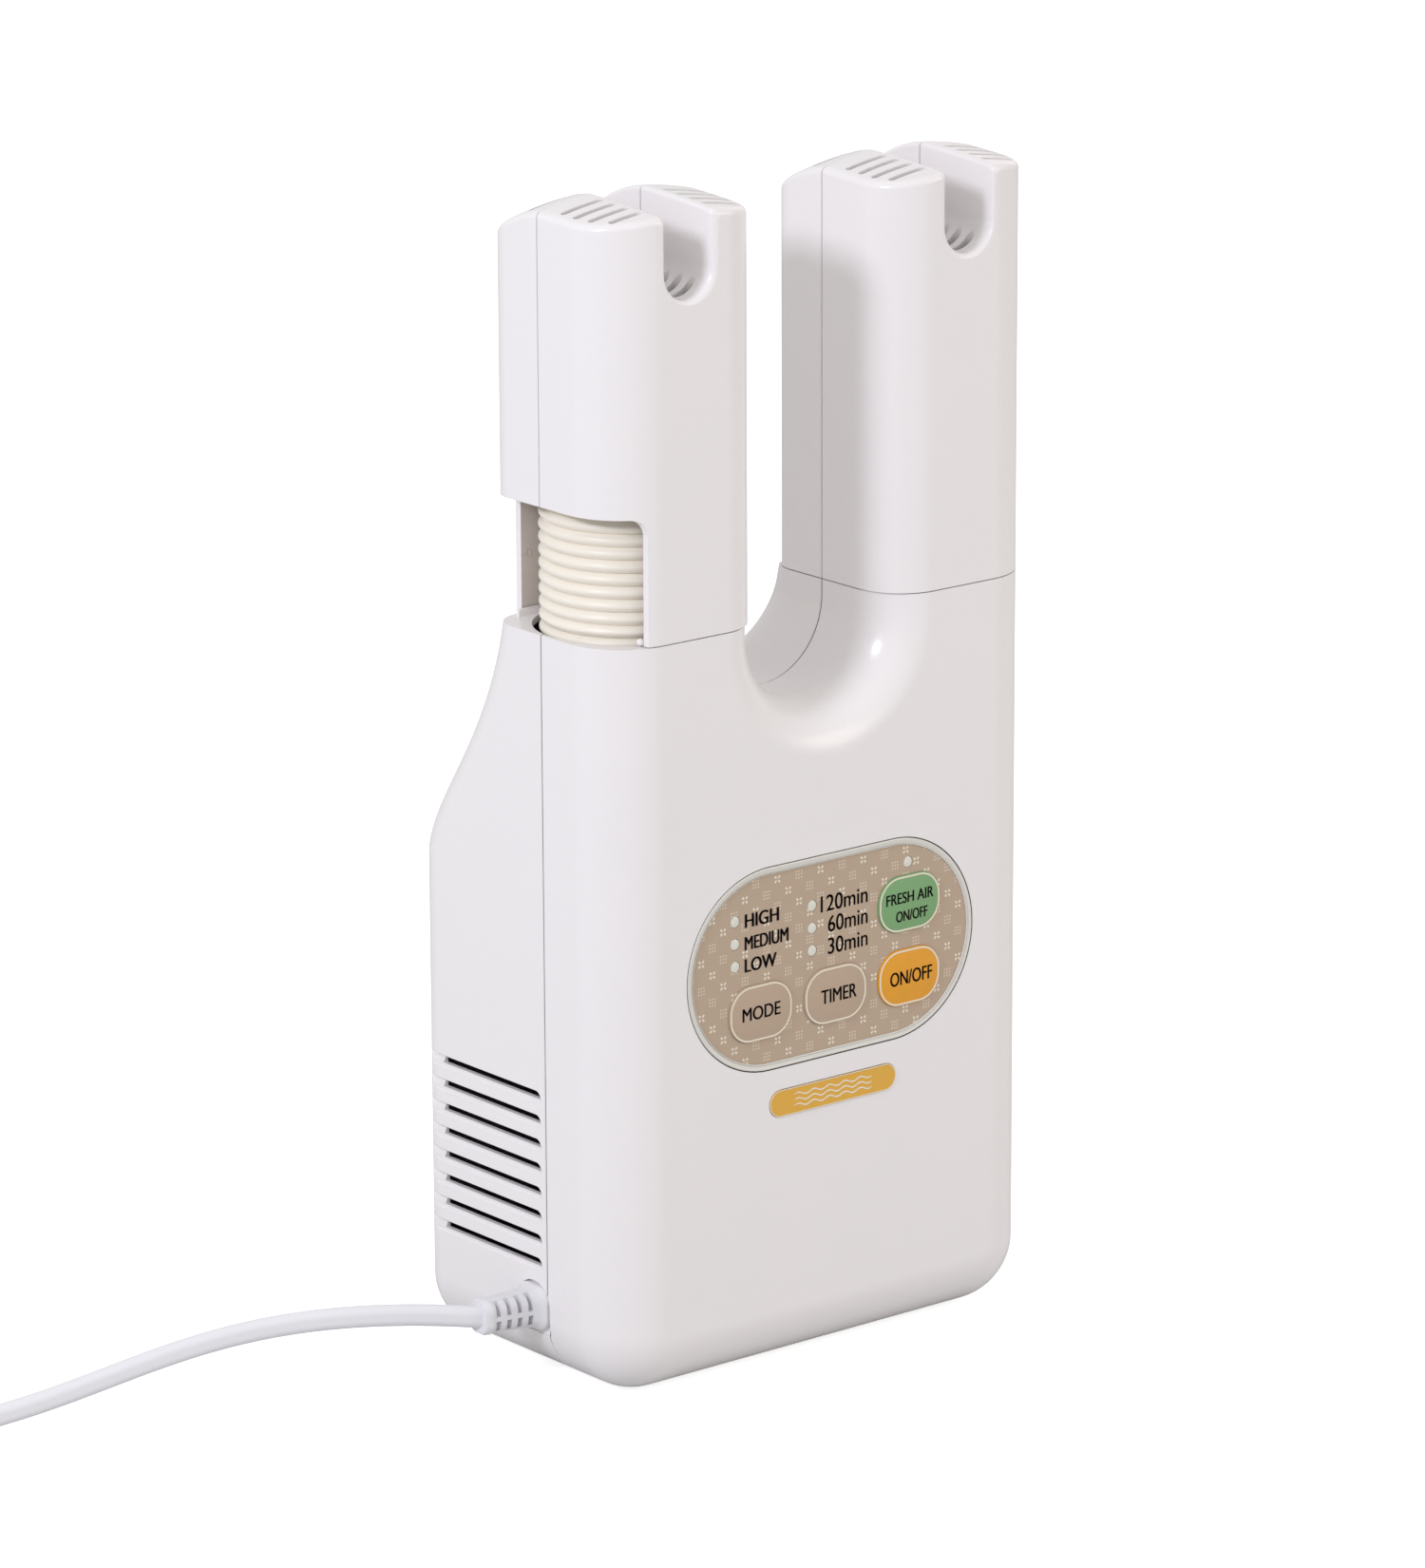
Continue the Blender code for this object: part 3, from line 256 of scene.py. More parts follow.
def moulded(name, colour, shade, roughness, grain=0.00002, edge=0.0003):
    """Injection-moulded plastic: faint clouds of colour, fine grain and softened edges."""
    finish = Finish(name, colour, roughness)
    finish.tint(finish.noise(22, 4.0) * 0.5, shade)
    finish.gloss(roughness - 0.05, roughness + 0.07, 60)
    finish.soften(edge)
    finish.bump(finish.noise(2600, 2.0) + finish.noise(120, 2.0) * 2.0, grain)
    return finish.material


def brushed(name, colour, roughness):
    """Metal with fine scratches and uneven gloss."""
    finish = Finish(name, colour, roughness, 1.0)
    finish.gloss(roughness - 0.08, roughness + 0.12, 400)
    finish.bump(finish.noise(1800, 4.0), 0.00002)
    return finish.material


def printed_film():
    """Tan film with a plain lattice of small crosses and squares of dots."""
    finish = Finish("panel_film_print", srgb(184, 165, 143), 0.42)
    finish.tint(finish.noise(160, 3.0) * 0.7, srgb(190, 163, 146))
    finish.tint(finish.noise(900, 2.0) * 0.35, srgb(172, 156, 128))
    pitch = 0.0041
    along = (finish.x + finish.z) / (2 * pitch)
    across = (finish.x - finish.z) / (2 * pitch)
    row, column = along.nearest(), across.nearest()
    u, v = along - row, across - column
    half = row * 0.5
    odd = abs(half - half.nearest()) > 0.2
    dashes = None
    for near, far in ((u, v), (v, u)):
        away = abs(near)
        width = away * 0.35 + 0.01
        dash = (away > 0.075).both(away < 0.235).both(abs(far) < width.both(0.055))
        dashes = dash if dashes is None else dashes.either(dash)
    crosses = dashes * (odd * -1.0 + 1.0)
    step = 0.24
    right, up = (u + v) / step, (u - v) / step
    inside = (abs(right) < 1.5).both(abs(up) < 1.5)
    spot = abs(right - right.nearest()).either(abs(up - up.nearest())) < 0.27
    squares = inside.both(spot) * odd
    finish.tint(crosses * 0.85, srgb(238, 228, 212))
    finish.tint(squares * 0.62, srgb(230, 214, 196))
    finish.gloss(0.36, 0.50, 300)
    finish.bump(finish.noise(1500, 2.0), 0.00001)
    return finish.material


def key_face(name, colour, shade):
    finish = Finish(name, colour, 0.38)
    finish.tint(finish.noise(260, 3.0) * 0.6, shade)
    finish.gloss(0.32, 0.46, 200)
    finish.soften(0.0002)
    finish.bump(finish.noise(1500, 2.0), 0.00001)
    return finish.material


def lens():
    finish = Finish("light_lens", srgb(226, 224, 214), 0.24)
    finish.tint(finish.noise(700, 2.0) * 0.4, srgb(210, 212, 204))
    finish.show({"Subsurface Weight": 0.4, "Subsurface Radius": (0.002, 0.002, 0.002), "Coat Weight": 0.3})
    return finish.material


WHITE = moulded("shell_white", srgb(238, 234, 234), srgb(232, 229, 231), 0.22)
# Dark grey painted shade: the case's white plastic, drawn dark on its inner faces and on the walls of the
# panel's recess.
INSIDE_SHADE = moulded("shell_inside_painted_shade", srgb(92, 89, 88), srgb(80, 78, 78), 0.70)
SHADOW = moulded("louvre_dark", srgb(40, 38, 38), srgb(30, 29, 29), 0.85)
# Pale painted shade: the nozzles' white plastic, drawn grey-beige on their inner faces.
INSIDE_PALE_SHADE = moulded("nozzle_inside_painted_shade", srgb(206, 198, 192), srgb(196, 188, 182), 0.55)
CREAM = moulded("hose_cream", srgb(241, 235, 223), srgb(234, 226, 211), 0.34, 0.00002)
BORDER = moulded("panel_border", srgb(222, 219, 212), srgb(214, 212, 206), 0.32)
FILM = printed_film()
KEY_TAN = key_face("key_tan", srgb(182, 162, 140), srgb(188, 160, 142))
KEY_ORANGE = key_face("key_orange", srgb(232, 160, 30), srgb(214, 148, 40))
KEY_GREEN = key_face("key_green", srgb(118, 166, 110), srgb(128, 160, 118))
OUTLINE = moulded("print_cream", srgb(236, 226, 206), srgb(226, 214, 192), 0.42, 0.00001, 0.0001)
INK = moulded("print_ink", srgb(38, 24, 20), srgb(52, 36, 30), 0.45, 0.00001, 0.00005)
BADGE = key_face("badge_yellow", srgb(226, 168, 60), srgb(216, 176, 70))
LENS = lens()
LEAD = moulded("lead_white", srgb(230, 229, 232), srgb(218, 217, 222), 0.36, 0.00003)
RUBBER = moulded("rubber", srgb(52, 52, 52), srgb(40, 40, 40), 0.75, 0.00005)
GREY = moulded("grey_plastic", srgb(150, 150, 152), srgb(132, 132, 134), 0.5)
BLACK = moulded("black_plastic", srgb(34, 34, 35), srgb(26, 26, 27), 0.45)
BOARD = moulded("board_green", srgb(28, 96, 58), srgb(20, 80, 48), 0.4)
MICA = moulded("mica", srgb(200, 186, 152), srgb(178, 160, 122), 0.55, 0.00006)
STEEL = brushed("steel", srgb(190, 190, 192), 0.32)
COPPER = brushed("heater_wire", srgb(176, 140, 112), 0.40)
BRASS = brushed("blade_brass", srgb(208, 188, 140), 0.30)

SLOT_FINISH = {
    "white_shell": WHITE, "hose_cream": CREAM, "panel_border": BORDER, "panel_film": FILM,
    "key_tan": KEY_TAN, "key_orange": KEY_ORANGE, "key_green": KEY_GREEN, "badge_yellow": BADGE,
    "light_white": LENS, "lead_white": LEAD, "blade_brass": BRASS, "grey_plastic": GREY,
    "black_plastic": BLACK, "board_green": BOARD, "steel": STEEL, "heater_wire": COPPER,
    "mica": MICA, "rubber": RUBBER,
}


# ---- mesh helpers

# Edges sharper than SMOOTH degrees stay hard. TIGHT keeps the two ends of a round end apart.
SMOOTH = 32
TIGHT = 1e-5


def front_view(node):
    """A node's middle, width and height seen from the front, then its face and its back."""
    low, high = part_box(node)
    middle = ((low.x + high.x) / 2, (low.z + high.z) / 2)
    return middle, high.x - low.x, high.z - low.z, low.y - SEAM, high.y - SEAM


def add_object(name, content):
    made = bpy.data.objects.new(name, content)
    bpy.context.scene.collection.objects.link(made)
    return made


def add_mesh(name, data, finishes, smooth=SMOOTH, shift=0.0):
    """An object from a bmesh moved along Y, with edges sharper than an angle left hard."""
    mesh = bpy.data.meshes.new(name)
    data.to_mesh(mesh)
    data.free()
    mesh.transform(Matrix.Translation((0, shift, 0)))
    for finish in finishes:
        mesh.materials.append(finish)
    mesh.shade_smooth()
    mesh.set_sharp_from_angle(angle=math.radians(smooth))
    return add_object(name, mesh)


def place(name, data, *finishes, smooth=SMOOTH):
    """Turns a bmesh drawn in the seam's frame into an object of the scene."""
    bmesh.ops.remove_doubles(data, verts=data.verts, dist=1e-7)
    bmesh.ops.recalc_face_normals(data, faces=data.faces)
    return add_mesh(name, data, finishes, smooth, SEAM)


def settle(item, smooth=SMOOTH):
    """Applies the modifiers, so that the mesh is final, and weighs its normals by area."""
    evaluated = item.evaluated_get(bpy.context.evaluated_depsgraph_get())
    mesh = bpy.data.meshes.new_from_object(evaluated)
    item.modifiers.clear()
    item.data = mesh
    mesh.shade_smooth()
    mesh.set_sharp_from_angle(angle=math.radians(smooth))
    weigh = item.modifiers.new("weigh", "WEIGHTED_NORMAL")
    weigh.keep_sharp = True
    weigh.weight = 80
    return item


def cut(target, *cutters, operation="DIFFERENCE", solver="EXACT"):
    """Boolean cuts in turn, then the mesh is made final and the cutters are removed."""
    for cutter in cutters:
        modifier = target.modifiers.new(cutter.name, "BOOLEAN")
        modifier.object = cutter
        modifier.operation = operation
        modifier.solver = solver
    settle(target)
    for cutter in cutters:
        bpy.data.objects.remove(cutter)
    return target


def arc(centre, radii, start, end, steps):
    points = []
    for i in range(steps + 1):
        angle = math.radians(start + (end - start) * i / steps)
        points.append((centre[0] + radii[0] * math.cos(angle), centre[1] + radii[1] * math.sin(angle)))
    return points


def rounded(centre, width, height, radius, steps=10):
    """A rounded rectangle as a list of points."""
    across, up = width / 2 - radius, height / 2 - radius
    points = []
    for start, sx, sy in ((0, 1, 1), (90, -1, 1), (180, -1, -1), (270, 1, -1)):
        corner = (centre[0] + sx * across, centre[1] + sy * up)
        points += arc(corner, (radius, radius), start, start + 90, steps)
    return points


def skin(rings, closed=False, inner=0):
    """A bmesh over rings of equal length; the first bands are the inner face of a wall."""
    data = bmesh.new()
    verts = [[data.verts.new(point) for point in ring] for ring in rings]
    count = len(verts[0])
    bands = list(zip(verts, verts[1:]))
    if closed:
        bands.append((verts[-1], verts[0]))
    for number, (low, high) in enumerate(bands):
        for i in range(count):
            j = (i + 1) % count
            face = data.faces.new((low[i], low[j], high[j], high[i]))
            face.material_index = 1 if number < inner else 0
    if not closed:
        data.faces.new(verts[0]).material_index = 1 if inner else 0
        data.faces.new(verts[-1])
    return data


def facing(outline, depths, name, *finishes):
    """A prism on an outline of (x, z) points between two depths along Y."""
    return place(name, skin([[(x, y, z) for x, z in outline] for y in depths]), *finishes)


def pill(middle, width, height, steps, depths, name, *finishes):
    """A prism with fully round ends."""
    return facing(rounded(middle, width, height, height / 2 - TIGHT, steps), depths, name, *finishes)


def turned(profile, centre, axis, sides=48):
    """A bmesh turned from (radius, height) points that close on themselves."""
    turn = Vector((0, 0, 1)).rotation_difference(Vector(axis)).to_matrix().to_4x4()
    put = Matrix.Translation(centre) @ turn
    data = bmesh.new()
    rings = []
    for i in range(sides):
        angle = 2 * math.pi * i / sides
        spin = (math.cos(angle), math.sin(angle))
        rings.append([data.verts.new(put @ Vector((r * spin[0], r * spin[1], h))) for r, h in profile])
    count = len(profile)
    for i in range(sides):
        near, far = rings[i], rings[(i + 1) % sides]
        for k in range(count):
            m = (k + 1) % count
            if profile[k][0] == 0 and profile[m][0] == 0:
                continue
            data.faces.new((near[k], far[k], far[m], near[m]))
    bmesh.ops.remove_doubles(data, verts=data.verts, dist=1e-7)
    bmesh.ops.dissolve_degenerate(data, edges=data.edges, dist=1e-8)
    return data


def join(name, items):
    """One object from several, with their materials kept."""
    meshes = bmesh.new()
    finishes = []
    for item in items:
        start = len(meshes.faces)
        meshes.from_mesh(item.data)
        meshes.faces.ensure_lookup_table()
        offsets = []
        for finish in item.data.materials:
            if finish not in finishes:
                finishes.append(finish)
            offsets.append(finishes.index(finish))
        for face in meshes.faces[start:]:
            face.material_index = offsets[face.material_index]
        bpy.data.objects.remove(item)
    return add_mesh(name, meshes, finishes)


def rod(radius, length):
    """A solid round bar as a profile for turned()."""
    return [(0, 0), (radius, 0), (radius, length), (0, length)]


def piece(item, body, slot, *nodes):
    """Rides a finished piece on its body, in the place of the nodes it stands for."""
    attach(item, body)
    if nodes:
        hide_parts(*nodes)
    return item


def bezier(ends, t):
    a, b, c, d = (Vector(p) for p in ends)
    s = 1 - t
    return a * s**3 + b * 3 * s * s * t + c * 3 * s * t * t + d * t**3


# ---- case


def rear_offset(z):
    """How far the rear face stands behind the back of the towers at a height."""
    if z >= JOINT:
        return 0.0
    if z <= REAR_CURVE[3][1]:
        return BULGE - TOWER_BACK
    low, high = 0.0, 1.0
    for _ in range(40):
        middle = (low + high) / 2
        if bezier(REAR_CURVE, middle).y > z:
            low = middle
        else:
            high = middle
    return bezier(REAR_CURVE, low).x - TOWER_BACK


def body_outline(side, fork, base, top):
    """Front view of the body as (x, z) points, pulled in from its sides, fork and base."""
    half = HALF - side
    radii = (max(CORNER_R - side, 0.001), max(CORNER_R - base, 0.001))
    right = arc((half - radii[0], base + radii[1]), radii, -90, 0, 14)
    right += [(half, top), (FORK + fork, top)]
    right += arc((0, FORK_Z), (FORK + fork, FORK + fork), 0, -90, 24)
    return right + [(-x, z) for x, z in reversed(right[:-1])]


def half_rings(seam_y, end_y, side_r, fork_r, wall, top, lip=0.0):
    """Rings of one half of the body, from its seam to its far face, rounded over at the far edge."""
    toward = 1 if end_y > seam_y else -1
    levels = []
    for share in CHAMFER_SHARES if lip else CHAMFER_SHARES[:1]:
        pull = lip * (1 - share) ** 2
        levels.append((seam_y + toward * lip * share, pull, pull))
    steps = 14
    for i in range(steps + 1):
        angle = math.radians(90 * i / steps)
        ease = 1 - math.cos(angle)
        levels.append((end_y - toward * side_r * (1 - math.sin(angle)), side_r * ease, fork_r * ease))
    rings = []
    for y, side, fork in levels:
        outline = body_outline(side + wall, fork + wall, side + wall, top)
        rings.append([(x, y, z) for x, z in outline])
    return rings


def half_shell(seam_y, end_y, side_r, fork_r):
    """A closed shell of one half of the body: its inner face, the seam's edge, then its outer face."""
    end = end_y - math.copysign(WALL, end_y)
    inside = half_rings(seam_y, end, side_r - WALL, fork_r - WALL, WALL, JOINT - WALL)
    outside = half_rings(seam_y, end_y, side_r, fork_r, 0.0, JOINT, SEAM_CHAMFER)
    return skin(inside[::-1] + outside, inner=len(inside))


def lean_back(data):
    """Pushes the far part of a rear half out to the curve of the rear face."""
    low, high = REAR_CURVE[3][1] - 0.004, REAR_CURVE[0][1]
    levels = 30
    for i in range(levels):
        geometry = data.verts[:] + data.edges[:] + data.faces[:]
        level = low + (high - low) * i / levels
        bmesh.ops.bisect_plane(data, geom=geometry, plane_co=(0, 0, level), plane_no=(0, 0, 1), dist=1e-6)
    for vertex in data.verts:
        if vertex.co.y > TOWER_BACK / 3:
            vertex.co.y += rear_offset(vertex.co.z)


def gather(name, meshes, *finishes):
    """One cutter from several separate bmeshes, with the finish its cut faces take."""
    data = bmesh.new()
    for part in meshes:
        mesh = bpy.data.meshes.new(name)
        part.to_mesh(mesh)
        part.free()
        data.from_mesh(mesh)
        bpy.data.meshes.remove(mesh)
    return place(name, data, *finishes)


def louvre_cutters():
    """The side vents: sloping grooves that run off the rear corner, and a deep slot in each."""
    slots, grooves = [], []
    for side in (-1, 1):
        for i in range(LOUVRES):
            top = LOUVRE_TOP - i * LOUVRE_PITCH
            slot, groove = [], []
            for step in range(9):
                turn = math.radians(90 * step / 8)
                y = LOUVRE_Y[0] + LOUVRE_NOSE * (1 - math.cos(turn))
                share = max(math.sin(turn), 0.10)
                slot.append(slot_ring(side, y, top, share))
                groove.append(groove_ring(side, y, top, share))
            slot.append(slot_ring(side, LOUVRE_Y[1], top, 1.0))
            groove.append(groove_ring(side, BULGE, top, 1.0))
            slots.append(skin(slot))
            grooves.append(skin(groove))
    return gather("louvre_grooves", grooves), gather("louvre_slots", slots, SHADOW)


def slot_ring(side, y, top, share):
    """The deep slot at one depth: its top edge rounds down to the front."""
    low = top - LOUVRE_OPENING
    high = low + LOUVRE_OPENING * share
    outer, inner = side * (HALF - LOUVRE_SHOULDER), side * (HALF - 0.008)
    return [(outer, y, high - 0.00002), (inner, y, high), (inner, y, low), (outer, y, low)]


def groove_ring(side, y, top, share):
    """The groove at one depth: cut in square under its top edge, then out to the wall."""
    high = top - LOUVRE_OPENING * (1 - share)
    edge = top - LOUVRE_OPENING
    low = edge - LOUVRE_LIP * (0.35 + 0.65 * share)
    points = [
        (0.0015, high), (-LOUVRE_DEPTH, high), (-LOUVRE_SHOULDER, edge), (-0.0006, (edge + low) / 2),
        (0.0015, low - 0.0004),
    ]
    return [(side * (HALF + out), y, z) for out, z in points]


def tower_opening(side):
    """The round opening in the top of a tower, just wider than its hose."""
    low = -WALL - 0.0004
    profile = [(0, low), (TOWER_OPENING_R, low), (TOWER_OPENING_R, 0.01), (0, 0.01)]
    centre = (side * NOZZLE_X, NOZZLE_Y, JOINT)
    return place(f"opening_{side}", turned(profile, centre, (0, 0, 1), 120), WHITE)


def make_guide_tabs():
    """Tabs that stand up behind each hose and centre the nozzle's rear wall."""
    tabs = []
    low, high = JOINT - WALL / 2, JOINT + TAB_HEIGHT
    for side in (-1, 1):
        for near, far in (TAB_SPAN, (-TAB_SPAN[1], -TAB_SPAN[0])):
            middle = (side * (NOZZLE_X + (near + far) / 2), (low + high) / 2)
            outline = rounded(middle, abs(far - near), high - low, 0.0003, 3)
            tabs.append(facing(outline, TAB_Y, f"tab_{side}_{near}", WHITE))
    piece(join("guide_tabs", tabs), "body", "white_shell")


def panel_cutters(front, back, grow):
    """Openings for the keys and the lights."""
    cutters = []
    for node in KEYS:
        middle = front_view(node)[0]
        outline = rounded(middle, KEY_WIDTH + 2 * grow, KEY_HEIGHT + 2 * grow, KEY_R + grow, 10)
        cutters.append(facing(outline, (front, back), f"{node}_opening"))
    for number, (x, z) in enumerate(LIGHTS):
        radius = LIGHT_R + grow
        outline = arc((x, z), (radius, radius), 0, 345, 23)
        cutters.append(facing(outline, (front, back), f"light_opening_{number}"))
    return cutters


def make_front_shell():
    # The shell's inner faces take the dark grey painted shade.
    shell = place("front_shell", half_shell(-GAP / 2, FRONT, FRONT_EDGE_R, FORK_EDGE_R), WHITE, INSIDE_SHADE)
    width, height = (size + PANEL_GAP for size in PANEL_SIZE)
    above = FRONT - 0.01
    # The recess walls take the dark grey painted shade, for the shade in the gap round the border.
    recess = pill((0, PANEL_Z), width, height, 28, (above, FRONT + 0.0010), "panel_recess", INSIDE_SHADE)
    middle, width, height, *_ = front_view("badge")
    strip = pill(
        middle, width + GAP, height + GAP, 14, (above, FRONT + 0.0006), "badge_recess", WHITE
    )
    openings = panel_cutters(FRONT - 0.004, FRONT + 0.01, 0.0003)
    cut(shell, tower_opening(-1), tower_opening(1), cord_recess(), recess, strip, *openings)
    piece(shell, "body", "white_shell", "front_case")


def make_rear_shell():
    data = half_shell(GAP / 2, TOWER_BACK, BACK_EDGE_R, FORK_BACK_R)
    lean_back(data)
    # The shell's inner faces take the dark grey painted shade.
    shell = place("rear_shell", data, WHITE, INSIDE_SHADE)
    wells = []
    for number, (x, z) in enumerate(SCREWS):
        wells.append(place(f"well_{number}", turned(rod(WELL_R, 0.06), (x, 0.015, z), (0, 1, 0), 32)))
    entry_rod = turned(rod(0.0042, 0.02), (0.008 - HALF, CORD_Y, CORD_Z), (-1, 0, 0), 32)
    entry = place("cord_entry", entry_rod)
    cut(shell, tower_opening(-1), tower_opening(1), *louvre_cutters(), entry, cord_recess(), *wells)
    piece(shell, "body", "white_shell", "rear_case")
    make_screw_sleeves()
    make_guide_tabs()


def cord_recess():
    """A shallow arched recess around the strain relief, across the seam."""
    half, low = 0.0076, CORD_Z - 0.0080
    outline = arc((CORD_Y, CORD_Z + 0.0004), (half, half), 0, 180, 24)
    outline += [(CORD_Y - half, low), (CORD_Y + half, low)]
    rings = [[(x, y, z) for y, z in outline] for x in (-HALF - 0.002, -HALF + CORD_RECESS)]
    return place("cord_recess", skin(rings), WHITE)


def make_screw_sleeves():
    """The bored posts that the case screws sit in, seen down their wells."""
    sleeves = []
    for number, (x, z) in enumerate(SCREWS):
        back = TOWER_BACK + rear_offset(z + 0.006) - WALL * 1.2
        sleeves.append(screw_sleeve(f"sleeve_{number}", x, z, back - GAP))
    piece(join("case_screw_sleeves", sleeves), "body", "white_shell")


def screw_sleeve(name, x, z, length):
    profile = [
        (SCREW_HOLE_R, 0), (SLEEVE_R, 0), (SLEEVE_R, length), (SLEEVE_BORE, length),
        (SLEEVE_BORE, SCREW_HEAD_Y), (SCREW_HOLE_R, SCREW_HEAD_Y),
    ]
    return place(name, turned(profile, (x, GAP / 2, z), (0, 1, 0), 32), WHITE)


# ---- nozzles


def pulled_in(y, front_r, inset):
    """How far the plan outline's side is pulled in at a depth, by its corner roundings."""
    pull = 0.0
    for away, corner_r in ((y - FRONT, front_r), (TOWER_BACK - y, NOZZLE_BACK_R)):
        away, radius = away - inset, corner_r - inset
        if away < radius:
            pull = max(pull, radius - math.sqrt(max(radius**2 - (radius - away) ** 2, 0.0)))
    return pull + inset


def edge_distance(a, y, inset):
    """Distance in plan from a point inside a nozzle to its outline."""
    outer = a > NOZZLE_X
    across = (HALF - inset - a) if outer else (a - FORK - inset)
    if y < NOZZLE_Y:
        along, radius = y - FRONT - inset, (FRONT_EDGE_R if outer else FORK_EDGE_R) - inset
    else:
        along, radius = TOWER_BACK - inset - y, NOZZLE_BACK_R - inset
    if across < radius and along < radius:
        return max(radius - math.hypot(radius - across, radius - along), 0.0)
    return max(min(across, along), 0.0)


def rolled(distance, radius):
    """How far a rounded edge has dropped at a distance from it."""
    rest = radius - min(max(distance, 0.0), radius)
    return radius - math.sqrt(radius**2 - rest**2)


def crown(a, y):
    """Height of the nozzle's domed top."""
    across = (a - NOZZLE_X) / NOZZLE_HALF
    along = y / FRONT if y < 0 else y / TOWER_BACK
    drop = CROWN_FRONT_DROP if y < 0 else CROWN_BACK_DROP
    return CROWN_Z - CROWN_SIDE_DROP * across**2 - drop[0] * along - drop[1] * along**2


def nozzle_section(side, y, inset, bottom, shrink=0.0):
    """The outline of a nozzle cut at a depth, as points, with its notch, dome and rolled edges."""
    low = FORK + pulled_in(y, FORK_EDGE_R, inset) + shrink
    high = HALF - pulled_in(y, FRONT_EDGE_R, inset) - shrink
    lip = max(LIP_R - inset, 0.0006)
    rim = max(NOTCH_RIM_R - inset, 0.0006)
    depth = min(y - FRONT - inset, TOWER_BACK - inset - y)
    flare_out, flare_in = (rolled(max(depth, 0.0), radius) for radius in NOTCH_FACE_R)
    if inset:
        flare_out = flare_in = 0.0
    notch = NOTCH_HALF + inset

    def top(a, wall_distance):
        drop = rolled(edge_distance(a, y, inset), lip) + rolled(wall_distance, rim)
        return crown(a, y) - inset - shrink - drop

    samples = 22
    shares = [(1 - math.cos(math.pi * i / samples)) / 2 for i in range(samples + 1)]
    near, far = NOZZLE_X - notch - flare_in - shrink, NOZZLE_X + notch + flare_out + shrink
    points = [(low, bottom)]
    for share in shares:
        a = low + (near - low) * share
        points.append((a, top(a, near - a)))
    centre = NOTCH_BOTTOM + NOTCH_HALF
    turns = 24
    for i in range(turns + 1):
        turn = math.pi * i / turns
        blend = (1 + math.cos(turn)) / 2
        radius = notch + flare_in * blend + flare_out * (1 - blend) + shrink
        points.append((NOZZLE_X - radius * math.cos(turn), centre - radius * math.sin(turn)))
    for share in shares:
        a = far + (high - far) * share
        points.append((a, top(a, a - far)))
    points.append((high, bottom))
    return [(side * a, y, z) for a, z in points]


def nozzle_depths(low, high, inset):
    """Depths at which a nozzle is cut into sections, closer together where its corners turn."""
    depths = set()
    steps = 16
    for i in range(steps + 1):
        turn = math.radians(90 * i / steps)
        depths.add(FRONT + inset + (FRONT_EDGE_R - inset) * (1 - math.cos(turn)))
        depths.add(TOWER_BACK - inset - (NOZZLE_BACK_R - inset) * (1 - math.cos(turn)))
    for i in range(1, 8):
        depths.add(low + (high - low) * i / 8)
    kept = [low]
    for depth in sorted(depths) + [high]:
        if kept[-1] + 0.00008 < depth <= high:
            kept.append(depth)
    kept[-1] = high
    return kept


def nozzle_solid(name, side, low, high, inset, bottom, seam_end, *finishes):
    """A closed form of one half of a nozzle; the seam end has a small chamfer."""
    rings = []
    for y in nozzle_depths(low, high, inset):
        from_seam = abs(y - seam_end) if seam_end is not None else 1.0
        if from_seam == 0:
            toward = -1 if seam_end > low else 1
            for share in CHAMFER_SHARES[::toward]:
                shrink = SEAM_CHAMFER * (1 - share) ** 2
                depth = seam_end + toward * SEAM_CHAMFER * share
                rings.append(nozzle_section(side, depth, inset, bottom, shrink))
        elif from_seam >= SEAM_CHAMFER * 1.5:
            rings.append(nozzle_section(side, y, inset, bottom))
    data = skin(rings)
    for face in data.faces:
        face.material_index = 1 if inset else 0
    return place(name, data, *finishes)


def grille_reach(y, corner_r):
    """How far from the nozzle's middle a slot may run at a depth."""
    inward = FRONT + corner_r - y
    if inward <= 0:
        return NOZZLE_HALF - GRILLE_MARGIN
    return NOZZLE_HALF - corner_r + math.sqrt(corner_r**2 - inward**2) - GRILLE_MARGIN


def slot_form(middle, length, width, low, high):
    """A round-ended upright slot along X."""
    outline = rounded((0, 0), length, width, width / 2 - TIGHT, 8)
    return [[(middle[0] + a, middle[1] + b, z) for a, b in outline] for z in (low, high)]


def grille_cutters(side):
    """Slots across the tops of both prongs and over the floor of the notch."""
    slots = []
    depths = [GRILLE_FRONT_Y + i * GRILLE_PITCH for i in range(GRILLE_FRONT_SLOTS)]
    depths += [GRILLE_REAR_Y + i * GRILLE_PITCH for i in range(GRILLE_REAR_SLOTS)]
    prong = NOTCH_HALF + WALL + 0.0002
    floor = NOTCH_HALF - 0.0010
    through_top = (CROWN_Z - 0.026, CROWN_Z + 0.01)
    through_floor = (NOTCH_BOTTOM - 0.004, NOTCH_BOTTOM + 0.012)
    for y in depths:
        inner, outer = -grille_reach(y, FORK_EDGE_R), grille_reach(y, FRONT_EDGE_R)
        for low, high, width, (bottom, top) in (
            (inner, -prong, GRILLE_SLOT, through_top),
            (prong, outer, GRILLE_SLOT, through_top),
            (-floor, floor, GRILLE_FLOOR_SLOT, through_floor),
        ):
            middle = (side * (NOZZLE_X + (low + high) / 2), y)
            slots.append(skin(slot_form(middle, high - low, width, bottom, top)))
    return gather(f"grille_{side}", slots)


